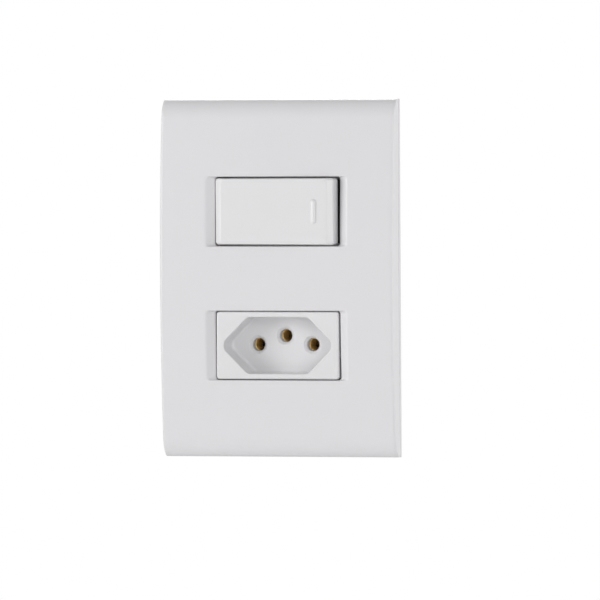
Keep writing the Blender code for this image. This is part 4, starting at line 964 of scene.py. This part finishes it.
def clamp_and_screw(x, z, name):
    """A square clamp plate with gripping grooves, and the screw that pulls it up."""
    prefix, which = name
    half = CLAMP_SIZE / 2
    outline = rectangle(half, half, 0.0005, (z, x), 4)
    clamp = soft_prism(outline, CLAMP_Y, CLAMP_Y + CLAMP_THICK, "Y", 0.00012)
    tools = [shank_hole(x, z, CLAMP_Y + CLAMP_THICK / 2, CLAMP_THICK)]
    before, wide = CLAMP_Y - 0.0002, CLAMP_GROOVE_HALF
    for row in CLAMP_GROOVES:
        middle = z + row
        groove = [(before, middle - wide), (before, middle + wide), (CLAMP_Y + CLAMP_GROOVE_DEEP, middle)]
        tools.append(soft_prism(groove, x - half - AHEAD, x + half + AHEAD, "X", 0.0))
    cut(clamp, *tools)
    settle(clamp, f"{prefix}_clamp_{which}", "base", ZINC)
    tip = TAIL_Y - TERMINAL_REACH
    size = (TERMINAL_HEAD_TALL, TERMINAL_HEAD_RADIUS, TERMINAL_RADIUS)
    slotted_screw(f"{prefix}_screw_{which}", (z, x), HEAD_Y, *size, tip, 1, 0.0005)


# Socket


def hexagon():
    """The recess's outline in (z, x), its two long flats level and its ends pointed."""
    half_x, half_z, radius = RECESS_WIDTH / 2, RECESS_HEIGHT / 2, RECESS_CORNER
    sharp = half_x + radius * (math.sqrt(2) - 1)
    flat = sharp - half_z
    corners = [(0, -sharp), (-half_z, -flat), (-half_z, flat), (0, sharp), (half_z, flat), (half_z, -flat)]
    return [(-PITCH + u, v) for u, v in rounded([(u, v, radius) for u, v in corners], 12)]


def pin_hole(x, z):
    """A countersunk hole from the recess's floor to the end of its guide, with a soft crease."""
    corners = [
        (0.0, SOCKET_FLOOR - AHEAD, 0.0),
        (HOLE_RADIUS + HOLE_LEAD + 0.0003, SOCKET_FLOOR - AHEAD, 0.0),
        (HOLE_RADIUS + HOLE_LEAD + 0.0003, SOCKET_FLOOR - 0.00012, 0.0),
        (HOLE_RADIUS + HOLE_LEAD - 0.00005, SOCKET_FLOOR + 0.00010, 0.0002),
        (HOLE_RADIUS, SOCKET_FLOOR + HOLE_LEAD_DEEP, 0.0006),
        (HOLE_RADIUS, GUIDE_END - 0.0002, 0.0),
        (HOLE_RADIUS + 0.0002, GUIDE_END + 0.0002, 0.0),
        (0.0, GUIDE_END + 0.0002, 0.0),
    ]
    return turned(rounded(corners, 5), (z, x), "Y", 64)


def socket_front():
    z = -PITCH
    outline = rectangle(FACE_HEIGHT / 2 + FACE_SPARE, FACE_WIDTH / 2 + FACE_SPARE, FACE_CORNER, (z, 0), 8)
    face = soft_prism(outline, SOCKET_FACE, EAR_BACK - DEEP_ROOT, "Y", 0, 5, FACE_EDGE)
    well = body_box(z, EAR_FRONT - DEEP_ROOT, SOCKET_SPLIT)
    guides = [
        bar((z + dz, x), HOLE_RADIUS + GUIDE_WALL, SOCKET_SPLIT - DEEP_ROOT, GUIDE_END, "Y", 0.0002)
        for x, dz in PIN_PLACES.values()
    ]
    join(face, well, ears(z), *guides)
    cutters = [stepped(hexagon(), opening(SOCKET_FACE, 0.0004, 5) + closing(SOCKET_FLOOR, 0.0011, 8), "Y")]
    cutters += [pin_hole(x, z + dz) for x, dz in PIN_PLACES.values()]
    for side in (-1, 1):
        low, high = sorted((side * (BODY_X - TONGUE_THICK), side * (BODY_X + AHEAD)))
        notch = (low, EAR_BACK + TONGUE_SET_BACK, z - TONGUE_Z)
        cutters.append(soft_block(notch, (high, SOCKET_SPLIT + AHEAD, z + TONGUE_Z), 0.0001))
    cut(face, *cutters)
    settle(face, "socket_front", "base", WHITE_FACE)


def socket_housing():
    z = -PITCH
    front = SOCKET_SPLIT + GAP
    housing = body_box(z, front)
    tongue_z = TONGUE_Z - GAP
    tongues = []
    for side in (-1, 1):
        low, high = sorted((side * (BODY_X - TONGUE_THICK + GAP), side * (BODY_X - TONGUE_BEHIND)))
        start = EAR_BACK + TONGUE_SET_BACK + GAP
        tongues.append(soft_block((low, start, z - tongue_z), (high, front + 0.002, z + tongue_z), 0.00015))
    join(housing, *tongues, hook(-1, z), hook(1, z))
    half_x, half_z = BODY_X - BODY_WALL, BODY_Z - BODY_WALL
    cutters = []
    for low, high in ((-half_x, -PARTITION_OUT), (-PARTITION_IN, PARTITION_IN), (PARTITION_OUT, half_x)):
        middle, half = (low + high) / 2, (high - low) / 2
        outline = rectangle(half_z, half, 0.0006, (z, middle), 4)
        cutters.append(stepped(outline, opening(front, 0.00015) + closing(REAR_Y, 0.0004), "Y"))
        cutters.append(rear_recess(z, half, middle))
    cutters += [terminal_window(x, z + dz) for x, dz in SCREW_PLACES.values()]
    cut(housing, *cutters)
    settle(housing, "socket_housing", "base", WHITE_INNER)


def contact_reach(name):
    """The lowest and highest x of a socket contact's bracket, kept clear of the partitions."""
    pin_x, screw_x = PIN_PLACES[name][0], SCREW_PLACES[name][0]
    radius = SLEEVE_BORE + SLEEVE_WALL
    low = min(pin_x - radius, screw_x - TAIL_HALF)
    high = max(pin_x + radius, screw_x + TAIL_HALF)
    if name == "earth":
        return -PARTITION_IN + GAP, PARTITION_IN - GAP
    if name == "line":
        return low, min(high, -PARTITION_OUT - GAP)
    return max(low, PARTITION_OUT + GAP), high


def socket_contact(name):
    """A slit sleeve on a folded bracket, whose tail lies against the housing's rear wall."""
    pin_x, pin_dz = PIN_PLACES[name]
    screw_x, screw_dz = SCREW_PLACES[name]
    up = 1 if name == "earth" else -1
    front = GUIDE_END + GAP
    seat = front + SLEEVE_LENGTH + STRIP / 2
    leg = -PITCH + screw_dz + up * (TAIL_HALF + STRIP / 2)
    free = -PITCH + screw_dz - up * TAIL_HALF
    path = [(seat, free), (seat, leg), (TAIL_Y, leg), (TAIL_Y, free)]
    bracket = soft_strip(path, *contact_reach(name), "X", STRIP)
    z = -PITCH + pin_dz
    join(bracket, bar((z, pin_x), SLEEVE_BORE + SLEEVE_WALL, front, seat, "Y", 0.0002))
    bore = hole((z, pin_x), SLEEVE_BORE, front, seat + STRIP / 2, "Y", 0.0003, 0.0001)
    depths = (front - AHEAD, front + SLEEVE_SLIT_LENGTH)
    slit = centred(pin_x, depths, z, SLEEVE_SLIT, 3 * SLEEVE_BORE, 0.0001)
    cut(bracket, bore, slit, shank_hole(screw_x, -PITCH + screw_dz))
    settle(bracket, f"contact_{name}", "base", BRASS)


# The photo's line of sight, with its angles in degrees, and the floor well below the plate
VIEW_AZIMUTH, VIEW_ELEVATION, VIEW_ROLL = 16.0, 1.5, -0.33
VIEW_DISTANCE, VIEW_LENS = 3.2, 572.5
VIEW_TARGET = Vector((0.0080, -0.0085, -0.0072))
FLOOR_Z, FLOOR_X, FLOOR_Y = -0.26, 1.6, 1.8

# Soft lamps: name, azimuth and elevation in degrees, and power
LAMPS = [
    ("lamp_left", -52, 8, 12.5),
    ("lamp_right", 35, 8, 7.8),
    ("lamp_right_rear", 104, 9, 8.3),
    ("lamp_rear", 190, 30, 12.0),
]
LAMP_DISTANCE, LAMP_SIZE = 1.7, (0.7, 0.8)
WORLD_LEVEL = 0.32


def towards(azimuth, elevation):
    """The unit vector at these angles, in degrees: azimuth 0 is -Y and 90 is +X."""
    a, e = math.radians(azimuth), math.radians(elevation)
    return Vector((math.sin(a) * math.cos(e), -math.cos(a) * math.cos(e), math.sin(e)))


def add_camera():
    back = towards(VIEW_AZIMUTH, VIEW_ELEVATION)
    camera = added(bpy.data.objects.new("camera", bpy.data.cameras.new("camera")))
    camera.location = VIEW_TARGET + back * VIEW_DISTANCE
    camera.rotation_mode = "QUATERNION"
    look = (-back).to_track_quat("-Z", "Y")
    camera.rotation_quaternion = look @ Matrix.Rotation(math.radians(VIEW_ROLL), 3, "Z").to_quaternion()
    camera.data.lens = VIEW_LENS
    camera.data.clip_end = 50
    bpy.context.scene.camera = camera


def add_floor():
    bm = bmesh.new()
    signs = ((-1, -1), (1, -1), (1, 1), (-1, 1))
    bm.faces.new([bm.verts.new((a * FLOOR_X, b * FLOOR_Y, FLOOR_Z)) for a, b in signs])
    mesh = bpy.data.meshes.new("floor")
    bm.to_mesh(mesh)
    bm.free()
    floor = added(bpy.data.objects.new("floor", mesh))
    material, nodes, links, shader = shader_of("pale_floor")
    patches = spread(nodes, links, noise(nodes, links, 6, 3), (0.86, 0.86, 0.86), (0.88, 0.88, 0.88))
    links.new(patches, shader.inputs["Base Color"])
    shader.inputs["Roughness"].default_value = 0.8
    mesh.materials.append(material)


def add_lamps():
    for name, azimuth, elevation, power in LAMPS:
        where = towards(azimuth, elevation) * LAMP_DISTANCE
        lamp = bpy.data.lights.new(name, "AREA")
        lamp.shape = "RECTANGLE"
        lamp.size, lamp.size_y = LAMP_SIZE
        lamp.energy = power
        made = added(bpy.data.objects.new(name, lamp))
        made.location = where
        made.rotation_mode = "QUATERNION"
        made.rotation_quaternion = (-where).to_track_quat("-Z", "Y")


def add_world():
    """A dim white world that looks full white to the camera, in mirrors and through clear things."""
    world = bpy.data.worlds.new("world")
    bpy.context.scene.world = world
    world.use_nodes = True
    nodes, links = world.node_tree.nodes, world.node_tree.links
    rays = nodes.new("ShaderNodeLightPath")
    shown = rays.outputs["Is Camera Ray"]
    for kind in ("Is Glossy Ray", "Is Transmission Ray"):
        either = nodes.new("ShaderNodeMath")
        either.operation = "MAXIMUM"
        links.new(shown, either.inputs[0])
        links.new(rays.outputs[kind], either.inputs[1])
        shown = either.outputs[0]
    level = nodes.new("ShaderNodeMapRange")
    level.inputs["To Min"].default_value = WORLD_LEVEL
    level.inputs["To Max"].default_value = 1.0
    links.new(shown, level.inputs["Value"])
    nodes["Background"].inputs["Color"].default_value = (1, 1, 1, 1)
    links.new(level.outputs["Result"], nodes["Background"].inputs["Strength"])
    bpy.context.scene.view_settings.view_transform = "Standard"


add_camera()
add_floor()
add_lamps()
add_world()
cover_plate()
support_frame()
for name, side in (("mounting_screw_upper", 1), ("mounting_screw_lower", -1)):
    size = (SCREW_HEAD_TALL, SCREW_HEAD_RADIUS, SCREW_RADIUS)
    slotted_screw(name, (side * SCREW_PITCH / 2, 0.0), EAR_BACK, *size, EAR_BACK + SCREW_LENGTH, -1, 0.0006)
switch_housing()
rocker()
rocker_plunger()
plunger_spring()
contact_arm()
arm_back = ARM_EDGE - ARM_TROUGH_RISE
rivet("moving_contact", "contact_arm", arm_back - ARM_THICK, arm_back, 1, ON_ARM)
rivet("fixed_contact", "base", SHELF_Y, SHELF_Y + STRIP, -1)
switch_terminals()
clamp_and_screw(SWITCH_TERMINAL_X, PITCH, ("switch", "common"))
clamp_and_screw(-SWITCH_TERMINAL_X, PITCH, ("switch", "load"))
socket_front()
socket_housing()
for name, (x, dz) in SCREW_PLACES.items():
    socket_contact(name)
    clamp_and_screw(x, -PITCH + dz, ("socket", name))
